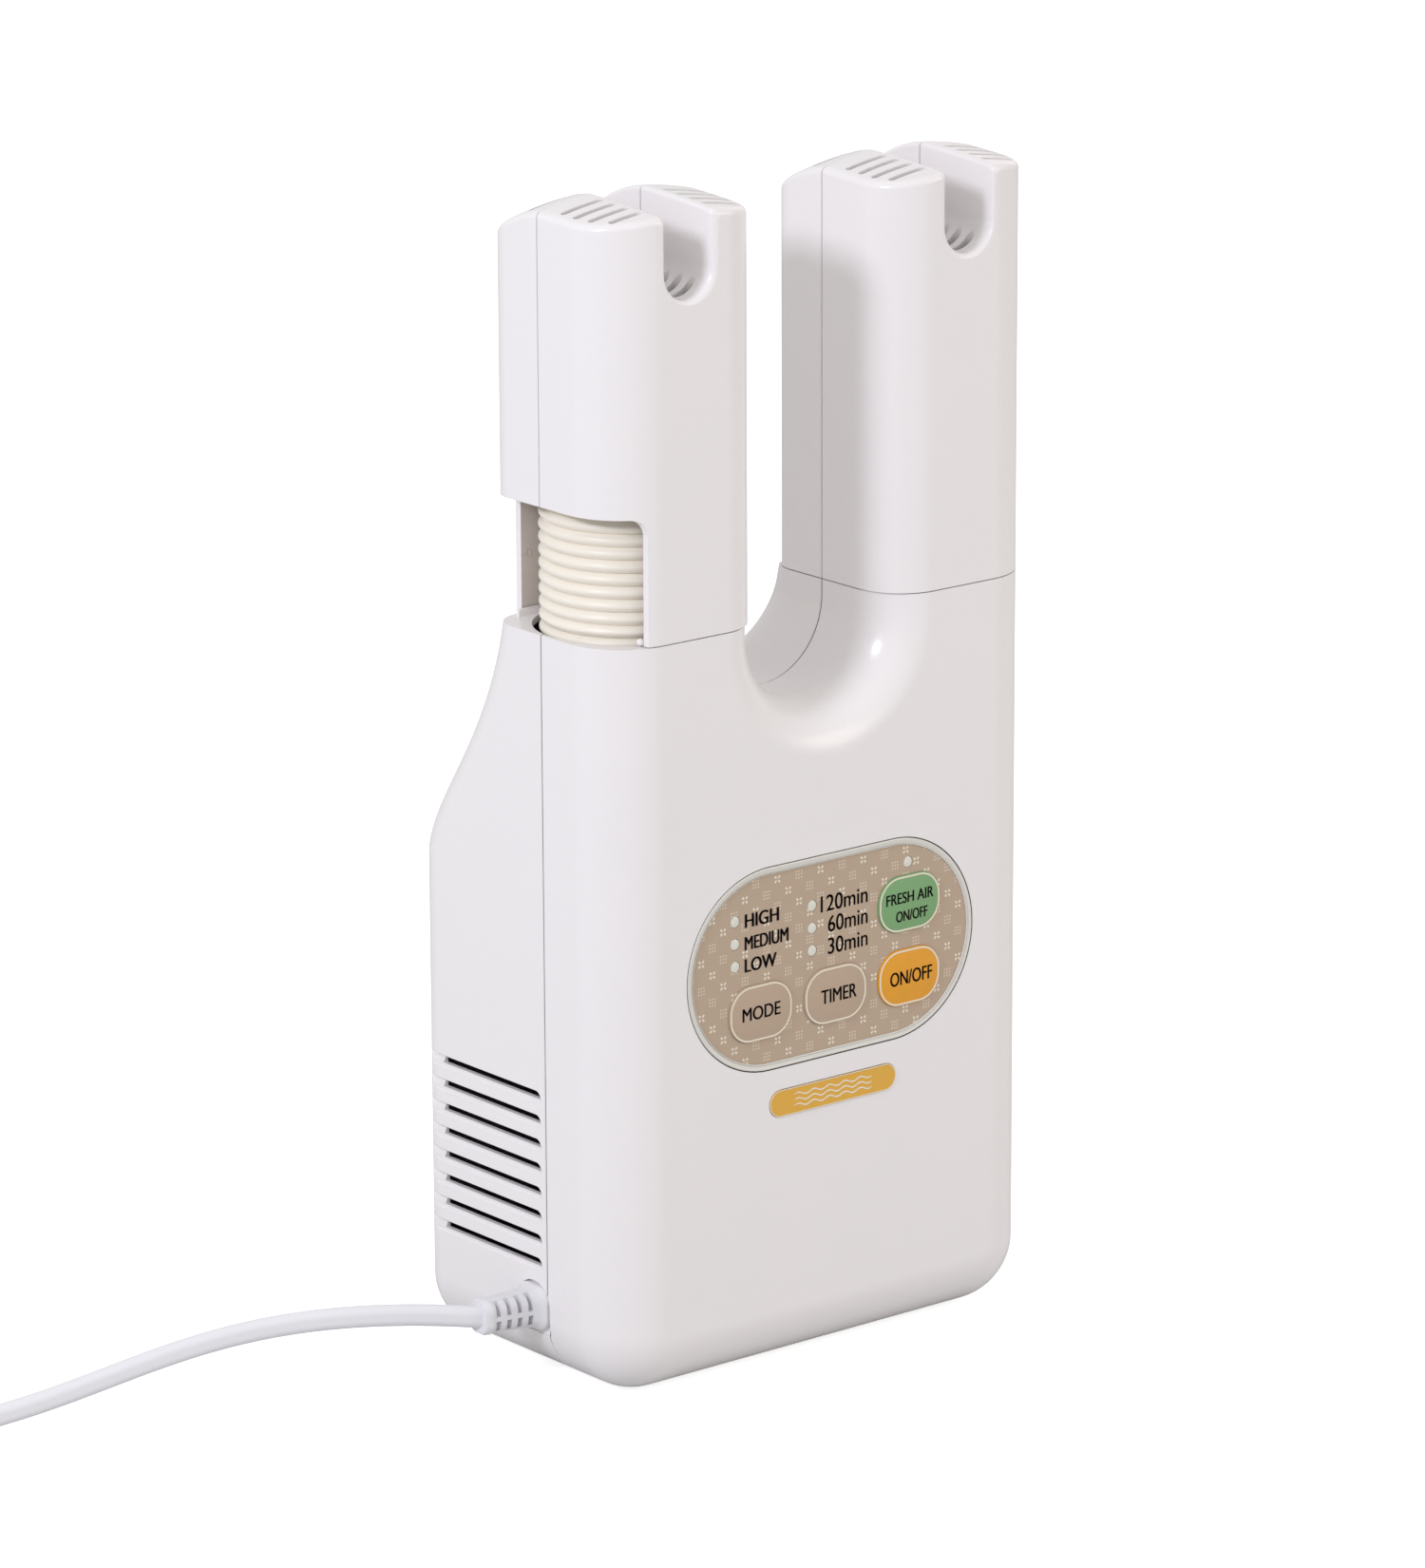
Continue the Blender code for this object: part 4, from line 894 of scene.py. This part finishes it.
def window_cutter(side):
    """The opening low on the left nozzle's outer side that shows the hose."""
    rings = []
    for y in (-0.06, 0.06):
        edge, r = window_edge(y), WINDOW_CORNER_R
        points = [(0.1, 0.2), (edge, 0.2)]
        points += arc((edge + r, WINDOW_TOP - r), (r, r), 180, 90, 14)
        points += [(0.1, WINDOW_TOP)]
        rings.append([(side * x, y, z) for x, z in points])
    return place(f"window_{side}", skin(rings))


def window_edge(y):
    """How far out the window's upright edge stands at a depth."""
    front, back = WINDOW_EDGES
    return front + (back - front) * (y - FRONT) / (TOWER_BACK - FRONT)


def make_nozzle(side, word):
    """Two hollow shells and a screw sleeve; only the left nozzle has a window."""
    body = f"nozzle_{word}"
    # The inner faces take the pale painted shade.
    finishes = (WHITE, INSIDE_PALE_SHADE)
    lap = 0.004
    halves = (
        ("front", (FRONT, -GAP / 2), -GAP / 2, (FRONT + WALL, lap)),
        ("rear", (GAP / 2, TOWER_BACK), GAP / 2, (-lap, TOWER_BACK - WALL)),
    )
    for half, outer, seam_end, inner in halves:
        name = f"{body}_{half}"
        shell = nozzle_solid(f"{name}_shell", side, *outer, 0.0, NOZZLE_BOTTOM, seam_end, *finishes)
        hollow = nozzle_solid(f"{name}_hollow", side, *inner, WALL, NOZZLE_BOTTOM - 0.01, None, *finishes)
        cutters = [hollow, grille_cutters(side)]
        if side < 0:
            cutters.append(window_cutter(side))
        if half == "rear":
            start = (side * NOZZLE_X, TOWER_BACK - 0.012, NOZZLE_SCREW_Z)
            cutters.append(place("nozzle_well", turned(rod(WELL_R, 0.03), start, (0, 1, 0), 32)))
        cut(shell, *cutters, solver="MANIFOLD")
        piece(shell, body, "white_shell", name)
    if side < 0:
        make_window_details(side, body)
    length = TOWER_BACK - WALL * 1.2
    sleeve = screw_sleeve(f"{body}_screw_sleeve", side * NOZZLE_X, NOZZLE_SCREW_Z, length)
    piece(sleeve, body, "white_shell")


def make_window_details(side, body):
    """A small round foot at the window's front edge, and an ejector mark on the rear wall."""
    ball = [(x, z + NUB_R) for x, z in arc((0, 0), (NUB_R, NUB_R), -90, 90, 12)]
    centre = (side * (window_edge(FRONT) + 0.0006), FRONT + 0.0040, NOZZLE_BOTTOM + 0.00002)
    nub = place(f"{body}_nub", turned(ball, centre, (0, 0, 1), 24), WHITE)
    ring = [(0.0009, 0.0), (0.0012, 0.0), (0.0012, 0.0001), (0.0009, 0.0001)]
    spot = (side * EJECTOR_MARK[0], TOWER_BACK - WALL, EJECTOR_MARK[1])
    # The ring takes the pale painted shade of the inner wall it stands on.
    mark = place(f"{body}_mark", turned(ring, spot, (0, -1, 0), 24), INSIDE_PALE_SHADE)
    piece(join(f"{body}_window_details", [nub, mark]), body, "white_shell")


# ---- hoses


def make_hose(side, word):
    """A ribbed hose with rounded pleats."""
    low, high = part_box(f"hose_{word}")
    length = high.z - low.z
    pitch = length / HOSE_RIBS
    outer = []
    steps = 10
    for i in range(HOSE_RIBS * steps + 1):
        turn = 2 * math.pi * i / steps
        swell = (1 - math.cos(turn)) / 2
        radius = HOSE_R - HOSE_RIB_DEPTH * (1 - swell**0.40)
        outer.append((radius, low.z + pitch * i / steps))
    bore = HOSE_R - HOSE_RIB_DEPTH - HOSE_WALL
    bands = 2 * HOSE_RIBS
    inner = [
        (bore - 0.0001 + 0.0001 * math.cos(i), high.z - length * i / bands) for i in range(bands + 1)
    ]
    pleats = turned(outer + inner, (side * NOZZLE_X, NOZZLE_Y, 0), (0, 0, 1), 96)
    hose = place(f"hose_{word}_pleated", pleats, CREAM, smooth=60)
    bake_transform(hose)
    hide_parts(f"hose_{word}")


# ---- control panel

PANEL_Z = 0.125
PANEL_GAP = 0.0006
KEYS = {
    "mode_button": ("mode_key", KEY_TAN, "key_tan"),
    "timer_button": ("timer_key", KEY_TAN, "key_tan"),
    "power_button": ("power_key", KEY_ORANGE, "key_orange"),
    "deodorizer_button": ("deodorizer_key", KEY_GREEN, "key_green"),
}
KEY_WIDTH, KEY_HEIGHT, KEY_R = 0.0236, 0.0172, 0.0078
KEY_SOFT = 0.00022
KEY_FLANGE = 0.0009
KEY_FLANGE_DEPTH = 0.0008
OUTLINE_WIDTH = 0.00053
LIGHT_R = 0.0017
LENS_DOME = 0.0003
LENS_PROUD = 0.0001
LIGHT_PITCH = 0.00685
LIGHT_COLUMNS = {
    "mode_light_pipe": [(-0.0365, 0.1279 + i * LIGHT_PITCH) for i in range(3)],
    "timer_light_pipe": [(-0.0073, 0.1274 + i * LIGHT_PITCH) for i in range(3)],
    "deodorizer_light_pipe": [(0.0296, 0.1478)],
}
LIGHTS = [spot for column in LIGHT_COLUMNS.values() for spot in column]
_, *PANEL_SIZE, FRAME_FACE, FRAME_BACK = front_view("panel_frame")
FRAME_WIDTH = 0.0021
FILM_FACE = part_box("panel_overlay")[0].y - SEAM
KEY_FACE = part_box("mode_button")[0].y - SEAM
PRINT = 0.00006


def band(name, centre, width, height, profile, steps, *finishes):
    """A closed ring on a rounded outline; its profile is (inset, depth) points."""
    rings = []
    for inset, y in profile:
        tall = height - 2 * inset
        radius = min(tall / 2 - 1e-6, KEY_R - inset) if steps < 20 else tall / 2 - 1e-6
        outline = rounded(centre, width - 2 * inset, tall, radius, steps)
        rings.append([(x, y, z) for x, z in outline])
    return place(name, skin(rings, closed=True), *finishes)


def make_panel():
    """The raised border ring, and the printed film inside it."""
    width, height = PANEL_SIZE
    soft = 0.0004
    round_over = FRAME_FACE + soft
    profile = [(0, FRAME_BACK), (0, round_over)]
    profile += [(soft - x, round_over - z) for x, z in arc((0, 0), (soft, soft), 15, 90, 5)]
    profile += [(FRAME_WIDTH - soft + x, round_over - z) for z, x in arc((0, 0), (soft, soft), 90, 0, 5)]
    profile += [(FRAME_WIDTH, FRAME_BACK)]
    border = band("panel_border_ring", (0, PANEL_Z), width, height, profile, 28, BORDER)
    piece(settle(border), "body", "panel_border", "panel_frame")
    wide, tall = (size - 2 * FRAME_WIDTH - 0.0001 for size in PANEL_SIZE)
    outline = rounded((0, PANEL_Z), wide, tall, tall / 2 - 1e-6, 28)
    film = facing(outline, (FILM_FACE, FRAME_BACK), "panel_film_sheet", FILM)
    cut(film, *panel_cutters(FILM_FACE - 0.01, FRAME_BACK + 0.01, 0.00008))
    piece(film, "body", "panel_film", "panel_overlay")


def key_rings(centre, face, back):
    """Rings of a key cap with a softly rounded face edge."""
    soft = KEY_SOFT
    profile = [(0, back), (0, face + soft)]
    profile += [(soft - x, face + soft - z) for x, z in arc((0, 0), (soft, soft), 30, 90, 2)]
    rings = []
    for inset, y in profile:
        outline = rounded(centre, KEY_WIDTH - 2 * inset, KEY_HEIGHT - 2 * inset, KEY_R - inset, 12)
        rings.append([(x, y, z) for x, z in outline])
    return rings


def make_keys():
    for node, (body, finish, slot) in KEYS.items():
        centre, *_, back = front_view(node)
        step = back - KEY_FLANGE_DEPTH
        cap = place(f"{body}_cap", skin(key_rings(centre, KEY_FACE, step)), finish)
        outline = rounded(
            centre, KEY_WIDTH + 2 * KEY_FLANGE, KEY_HEIGHT + 2 * KEY_FLANGE, KEY_R + KEY_FLANGE, 10
        )
        flange = facing(outline, (step, back), f"{body}_flange", finish)
        near, far = KEY_SOFT, KEY_SOFT + OUTLINE_WIDTH
        low, high = KEY_FACE + PRINT, KEY_FACE - PRINT
        profile = [(near, low), (near, high), (far, high), (far, low)]
        ring = band(f"{body}_outline", centre, KEY_WIDTH, KEY_HEIGHT, profile, 12, OUTLINE)
        piece(join(f"{body}_cap_printed", [cap, flange, ring]), body, slot, node)


def make_lights():
    """Small domed lenses, each column joined by a bar behind the film."""
    for node, spots in LIGHT_COLUMNS.items():
        parts = []
        middle, width, height, _, back = front_view(node)
        depth = back - FILM_FACE
        dome = arc((0, LENS_DOME - LENS_PROUD), (LIGHT_R, LENS_DOME), -90, 0, 6)
        dome = [(0, -LENS_PROUD)] + dome[1:] + [(LIGHT_R, depth), (0, depth)]
        for number, (x, z) in enumerate(spots):
            parts.append(place(f"{node}_{number}", turned(dome, (x, FILM_FACE, z), (0, 1, 0), 32), LENS))
        bar = facing(rounded(middle, width, height, 0.001, 4), (back - 0.001, back), f"{node}_bar", LENS)
        piece(join(f"{node}_lenses", parts + [bar]), "body", "light_white", node)


def label(text, left, right, base, height, face, weight):
    """Generic lettering as a thin raised print between two places along X, doubled for weight."""
    curve = bpy.data.curves.new(text, "FONT")
    curve.body = text
    curve.extrude = 0.5
    source = add_object(text, curve)
    bpy.context.view_layer.update()
    mesh = bpy.data.meshes.new_from_object(source.evaluated_get(bpy.context.evaluated_depsgraph_get()))
    bpy.data.objects.remove(source)
    low = [min(v.co[k] for v in mesh.vertices) for k in range(3)]
    high = [max(v.co[k] for v in mesh.vertices) for k in range(3)]
    for vertex in mesh.vertices:
        along, up, out = ((vertex.co[k] - low[k]) / (high[k] - low[k]) for k in range(3))
        depth = SEAM + face + PRINT * (1 - 2 * out)
        vertex.co = (left + (right - left) * along, depth, base + height * up)
    mesh.materials.append(INK)
    double = bmesh.new()
    for shift in (-weight, 0.0, weight):
        mesh.transform(Matrix.Translation((shift, 0, 0)))
        double.from_mesh(mesh)
        mesh.transform(Matrix.Translation((-shift, 0, 0)))
    double.to_mesh(mesh)
    double.free()
    return add_object(f"label_{text}", mesh)


FILM_LABELS = (
    ("HIGH", -0.0327, -0.0201, 0.1391, 0.0042, FILM_FACE, 0.00022),
    ("MEDIUM", -0.0328, -0.0165, 0.1323, 0.0041, FILM_FACE, 0.00018),
    ("LOW", -0.0328, -0.0210, 0.1256, 0.0041, FILM_FACE, 0.00020),
    ("120min", -0.0040, 0.0139, 0.1384, 0.0050, FILM_FACE, 0.00008),
    ("60min", -0.0012, 0.0139, 0.1319, 0.0050, FILM_FACE, 0.00008),
    ("30min", -0.0012, 0.0139, 0.1251, 0.0050, FILM_FACE, 0.00008),
)
KEY_LABELS = {
    "mode_button": [("MODE", -0.0342, -0.0200, 0.1107, 0.0041)],
    "timer_button": [("TIMER", -0.0043, 0.0092, 0.1104, 0.0042)],
    "power_button": [("ON/OFF", 0.0224, 0.0386, 0.1104, 0.0043)],
    "deodorizer_button": [
        ("FRESH AIR", 0.0208, 0.0390, 0.1356, 0.0034), ("ON/OFF", 0.0246, 0.0367, 0.1300, 0.0033),
    ],
}


def make_labels():
    piece(join("panel_labels", [label(*line) for line in FILM_LABELS]), "body", "panel_film")
    for node, lines in KEY_LABELS.items():
        body, _, slot = KEYS[node]
        piece(join(f"{body}_label", [label(*line, KEY_FACE, 0.00010) for line in lines]), body, slot)


def make_badge():
    """The strip under the panel, with a cream rim and a plain row of air waves."""
    centre, width, height, face, back = front_view("badge")
    strip = pill(centre, width, height, 16, (face, back), "badge_strip", BADGE)
    under, over, rim_width = face + 0.0001, face - PRINT, 0.00028
    profile = [(0.0, under), (0.0, over), (rim_width, over), (rim_width, under)]
    rim = band("badge_rim", centre, width, height, profile, 20, OUTLINE)
    waves = []
    length, crests, steps = 0.030, 5, 90
    for row in range(3):
        rings = []
        for i in range(steps + 1):
            x = centre[0] - length / 2 + length * i / steps
            z = centre[1] + (row - 1) * 0.0017 + 0.00045 * math.sin(2 * math.pi * crests * i / steps)
            half = 0.00024 * math.sqrt(max(1 - abs(2 * i / steps - 1) ** 12, 0.02))
            low, high = z - half, z + half
            rings.append([(x, under, low), (x, over, low), (x, over, high), (x, under, high)])
        waves.append(place(f"wave_{row}", skin(rings), OUTLINE))
    piece(join("badge_printed", [strip, rim] + waves), "body", "badge_yellow", "badge")


# ---- screws and feet


def make_screws():
    """Pan heads with a cross recess, deep in their wells."""
    places = [(f"case_screw_{i + 1}", x, z, "body") for i, (x, z) in enumerate(SCREWS)]
    for side, word in SIDES:
        places.append((f"nozzle_screw_{word}", side * NOZZLE_X, NOZZLE_SCREW_Z, f"nozzle_{word}"))
    head = SCREW_HEAD_Y + GAP
    shank_r, head_r, shank, rim = 0.0012, 0.0029, 0.0195, 0.0200
    profile = [(0, 0), (shank_r, 0.0006), (shank_r, shank), (head_r, shank), (head_r, rim)]
    profile += arc((0, rim), (head_r, 0.0014), 20, 90, 5)
    for node, x, z, body in places:
        screw = place(f"{node}_cross_head", turned(profile, (x, head - shank, z), (0, 1, 0), 32), STEEL)
        for size in ((0.0030, 0.0007), (0.0007, 0.0030)):
            outline = rounded((x, z), *size, 0.0002, 2)
            cut(screw, facing(outline, (head + 0.0008, head + 0.0030), "cross"))
        piece(screw, body, "steel", node)


def make_feet():
    for number in range(4):
        node = f"foot_{number + 1}"
        low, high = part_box(node)
        radius, tall, soft = (high.x - low.x) / 2, high.z - low.z, 0.0004
        profile = [(0, 0), (radius - soft, 0), (radius, soft), (radius, tall), (0, tall)]
        centre = ((low.x + high.x) / 2, (low.y + high.y) / 2 - SEAM, low.z)
        foot = place(f"{node}_pad", turned(profile, centre, (0, 0, 1), 40), RUBBER)
        piece(foot, "body", "rubber", node)


# ---- lead

CORD_Y = 0.0065
CORD_Z = 0.0232
CORD_POINTS = (
    (-0.1018, CORD_Y, 0.0242), (-0.1764, 0.0503, 0.0344), (-0.1938, 0.0565, 0.0060), (-0.2516, 0.0764, 0.0037)
)
CORD_HALF = (0.0026, 0.0033)
RELIEF_RISE = 0.05
CORD_RECESS = 0.0012
# Each row: how far out, half the depth, half the height, and the corner's radius.
RELIEF_PROFILE = (
    (-0.0060, 0.0038, 0.0038, 0.0030), (-0.0011, 0.0038, 0.0038, 0.0030),
    (-0.0011, 0.0070, 0.0069, 0.0044), (0.0001, 0.0070, 0.0069, 0.0044),
    (0.0006, 0.0068, 0.0067, 0.0043), (0.0013, 0.0062, 0.0064, 0.0042),
    (0.0024, 0.0055, 0.0059, 0.0040), (0.0042, 0.0051, 0.0056, 0.0038),
    (0.0110, 0.0048, 0.0053, 0.0037), (0.0177, 0.0045, 0.0050, 0.0035),
    (0.0180, 0.0047, 0.0053, 0.0036), (0.0185, 0.0048, 0.0054, 0.0037),
    (0.0200, 0.0047, 0.0053, 0.0036), (0.0207, 0.0043, 0.0049, 0.0034),
)
RELIEF_WINDOW_START = 0.0049
RELIEF_WINDOW_PITCH = 0.0038
RELIEF_WINDOW_HALF = 0.00085
RELIEF_WINDOW_Y = (0.0022, 0.0080)


def make_relief():
    """Strain relief: a square flange flared into a sleeve with two rows of windows a side and a collar."""
    sleeve = place("relief_sleeve", skin([relief_ring(*row) for row in RELIEF_PROFILE]), LEAD)
    cutters = []
    near, far = RELIEF_WINDOW_Y
    for i in range(4):
        along = RELIEF_WINDOW_START + i * RELIEF_WINDOW_PITCH
        middle = CORD_Z + along * RELIEF_RISE
        for side in (-1, 1):
            for low, high in ((0.0004, 0.0070), (-0.0040, -0.0010)):
                centre = (CORD_Y + side * (near + far) / 2, middle + (low + high) / 2)
                outline = rounded(centre, far - near, high - low, 0.0004, 3)
                ends = (-HALF - along - RELIEF_WINDOW_HALF, -HALF - along + RELIEF_WINDOW_HALF)
                cutters.append(skin([[(x, y, z) for y, z in outline] for x in ends]))
    cut(sleeve, gather("relief_windows", cutters))
    piece(sleeve, "body", "lead_white", "strain_relief")


def relief_ring(along, half_y, half_z, radius):
    outline = rounded((CORD_Y, CORD_Z + max(along, 0) * RELIEF_RISE), 2 * half_y, 2 * half_z, radius, 8)
    return [(-HALF - along, y, z) for y, z in outline]


def cord_frame(ahead):
    """The lead's sideways and upward directions."""
    across = ahead.cross(Vector((0, 0, 1))).normalized()
    return across, across.cross(ahead).normalized()


def make_cord():
    """A flat twin lead with a shallow groove between its cores."""
    steps, sides = 72, 28
    section = []
    for k in range(sides):
        angle = 2 * math.pi * k / sides
        groove = 1 - 0.10 * math.exp(-((math.sin(angle)) / 0.22) ** 2)
        rise = math.copysign(abs(math.sin(angle)) ** 0.9, math.sin(angle))
        section.append((CORD_HALF[0] * math.cos(angle) * groove, CORD_HALF[1] * rise))
    rings = []
    for i in range(steps + 1):
        t = i / steps
        point = bezier(CORD_POINTS, t)
        ahead = bezier(CORD_POINTS, min(t + 0.01, 1)) - bezier(CORD_POINTS, max(t - 0.01, 0))
        if i == 0:
            ahead = Vector((-1, 0, RELIEF_RISE))
        across, up = cord_frame(ahead)
        rings.append([point + across * a + up * b for a, b in section])
    cord = place("power_cord_twin", skin(rings), LEAD, smooth=50)
    piece(cord, "body", "lead_white", "power_cord")


def make_plug():
    """A moulded two-pin plug with grip ribs, at the free end of the lead."""
    end = bezier(CORD_POINTS, 1)
    along = (end - bezier(CORD_POINTS, 11 / 12)).normalized()
    across, up = cord_frame(along)
    length = 0.030
    stages = [(0.0003, 0.0034), (0.0025, 0.0037), (0.004, 0.0050), (0.007, 0.0066), (0.010, 0.0076)]
    for i in range(4):
        start = 0.0118 + i * 0.0026
        for step, half in ((0, 0.0082), (0.0004, 0.0077), (0.0012, 0.0077), (0.0016, 0.0083)):
            stages.append((start + step, half))
    stages += [(0.0235, 0.0088), (length - 0.0008, 0.0088), (length - 0.0002, 0.0085), (length, 0.0080)]
    plug_rings = []
    for distance, half in stages:
        middle = end + along * distance
        thick = min(half, 0.0064)
        outline = rounded((0, 0), 2.2 * half, 2 * thick, thick * 0.6, 6)
        lift = max(0.0, thick + GAP - middle.z)
        plug_rings.append([middle + across * a + up * (b + lift) for a, b in outline])
    body = place("power_plug_moulded", skin(plug_rings), LEAD, smooth=40)
    piece(settle(body, 40), "body", "lead_white", "power_plug")
    face = end + along * length + up * max(0.0, 0.0065 + GAP - end.z)
    for word, sign in (("left", -1), ("right", 1)):
        blade = []
        for distance, shrink in ((-0.002, 0.0), (0.0150, 0.0), (0.0162, 0.0004), (0.0165, 0.0006)):
            middle = face + along * distance + across * (sign * 0.0064)
            outline = rounded((0, 0), 0.0015 - shrink, 0.0062 - 2 * shrink, 0.0004 - shrink / 2, 3)
            blade.append([middle + across * a + up * b for a, b in outline])
        name = f"plug_blade_{word}"
        piece(place(f"{name}_plated", skin(blade), BRASS), "body", "blade_brass", name)


# ---- works kept from the frame


def repaint_nodes():
    """Gives every node that stays in view the procedural finish of its material slot."""
    for entry in frame["record"]["subparts"]:
        mesh = frame["nodes"][entry["node"]].data
        mesh.materials.clear()
        mesh.materials.append(SLOT_FINISH[entry["material_slot"]])


# ---- studio

WORLD_LIGHT = (0.735, 0.732, 0.722)
FLOOR_GLOW = 0.80
LIGHTING = {
    "key": ((-1.55, -0.33, 1.09), (0, 0, 0.25), 0.36, (11.6, 11.8, 13.3)),
    "front_fill": ((1.2, -1.6, 0.9), (0, 0, 0.15), 1.2, (9.0, 8.4, 7.6)),
    "back_fill": ((1.5, 0.9, 0.9), (0, 0, 0.15), 1.0, (1.4, 1.0, 1.2)),
}
CAMERA_LENS = 171.7
CAMERA_SPOT = (-1.35434, -1.65048, 0.75749)
CAMERA_AHEAD = (0.60671, 0.74934, -0.26531)
CAMERA_ROLL = -0.234


def make_world():
    """Even white light all round, and a plain white backdrop for the camera."""
    world = bpy.data.worlds.new("studio")
    bpy.context.scene.world = world
    world.use_nodes = True
    tree = world.node_tree
    soft = tree.nodes["Background"]
    soft.inputs["Color"].default_value = (*WORLD_LIGHT, 1)
    backdrop = tree.nodes.new("ShaderNodeBackground")
    backdrop.inputs["Color"].default_value = (1, 1, 1, 1)
    seen = tree.nodes.new("ShaderNodeLightPath").outputs["Is Camera Ray"]
    mix = tree.nodes.new("ShaderNodeMixShader")
    for slot, source in zip(mix.inputs, (seen, soft.outputs[0], backdrop.outputs[0])):
        tree.links.new(source, slot)
    tree.links.new(mix.outputs[0], tree.nodes["World Output"].inputs[0])


def make_floor():
    """A pale floor that looks as white as the backdrop but casts back no glow of its own."""
    finish = Finish("floor_white", srgb(206, 206, 206), 0.8)
    finish.tint(finish.noise(3, 2.0) * 0.3, srgb(202, 202, 202))
    seen = Field(finish.tree, finish.node("ShaderNodeLightPath")["Is Camera Ray"])
    finish.show({"Emission Color": (1, 1, 1, 1), "Emission Strength": seen * FLOOR_GLOW})
    data = bmesh.new()
    bmesh.ops.create_grid(data, x_segments=1, y_segments=1, size=6)
    floor = place("studio_floor", data, finish.material)
    floor.location.z = -0.0002


def make_studio():
    scene = bpy.context.scene
    scene.view_settings.view_transform = "Standard"
    scene.view_settings.look = "None"
    make_world()
    make_floor()
    for name, values in LIGHTING.items():
        add_light(name, *values)


def add_light(name, where, target, size, colour):
    """A round soft light that points from a place to a target."""
    light = bpy.data.lights.new(name, "AREA")
    light.shape = "DISK"
    light.size = size
    light.energy = max(colour)
    light.color = [channel / max(colour) for channel in colour]
    item = add_object(name, light)
    item.location = where
    item.rotation_euler = (Vector(target) - Vector(where)).to_track_quat("-Z", "Y").to_euler()


def make_camera():
    """Long lens from the front left, a little above the top of the case."""
    data = bpy.data.cameras.new("camera")
    data.sensor_width = data.sensor_height = 36
    data.lens = CAMERA_LENS
    data.clip_end = 20
    camera = add_object("camera", data)
    turn = Vector(CAMERA_AHEAD).normalized().to_track_quat("-Z", "Y").to_matrix().to_4x4()
    roll = Matrix.Rotation(math.radians(CAMERA_ROLL), 4, "Z")
    spot = Matrix.Translation(Vector(CAMERA_SPOT) + Vector((0, SEAM, 0)))
    camera.matrix_world = spot @ turn @ roll
    bpy.context.scene.camera = camera


def main():
    repaint_nodes()
    make_front_shell()
    make_rear_shell()
    for side, word in SIDES:
        make_nozzle(side, word)
        make_hose(side, word)
    make_panel()
    make_keys()
    make_lights()
    make_labels()
    make_badge()
    make_screws()
    make_feet()
    make_relief()
    make_cord()
    make_plug()
    make_studio()
    make_camera()


main()
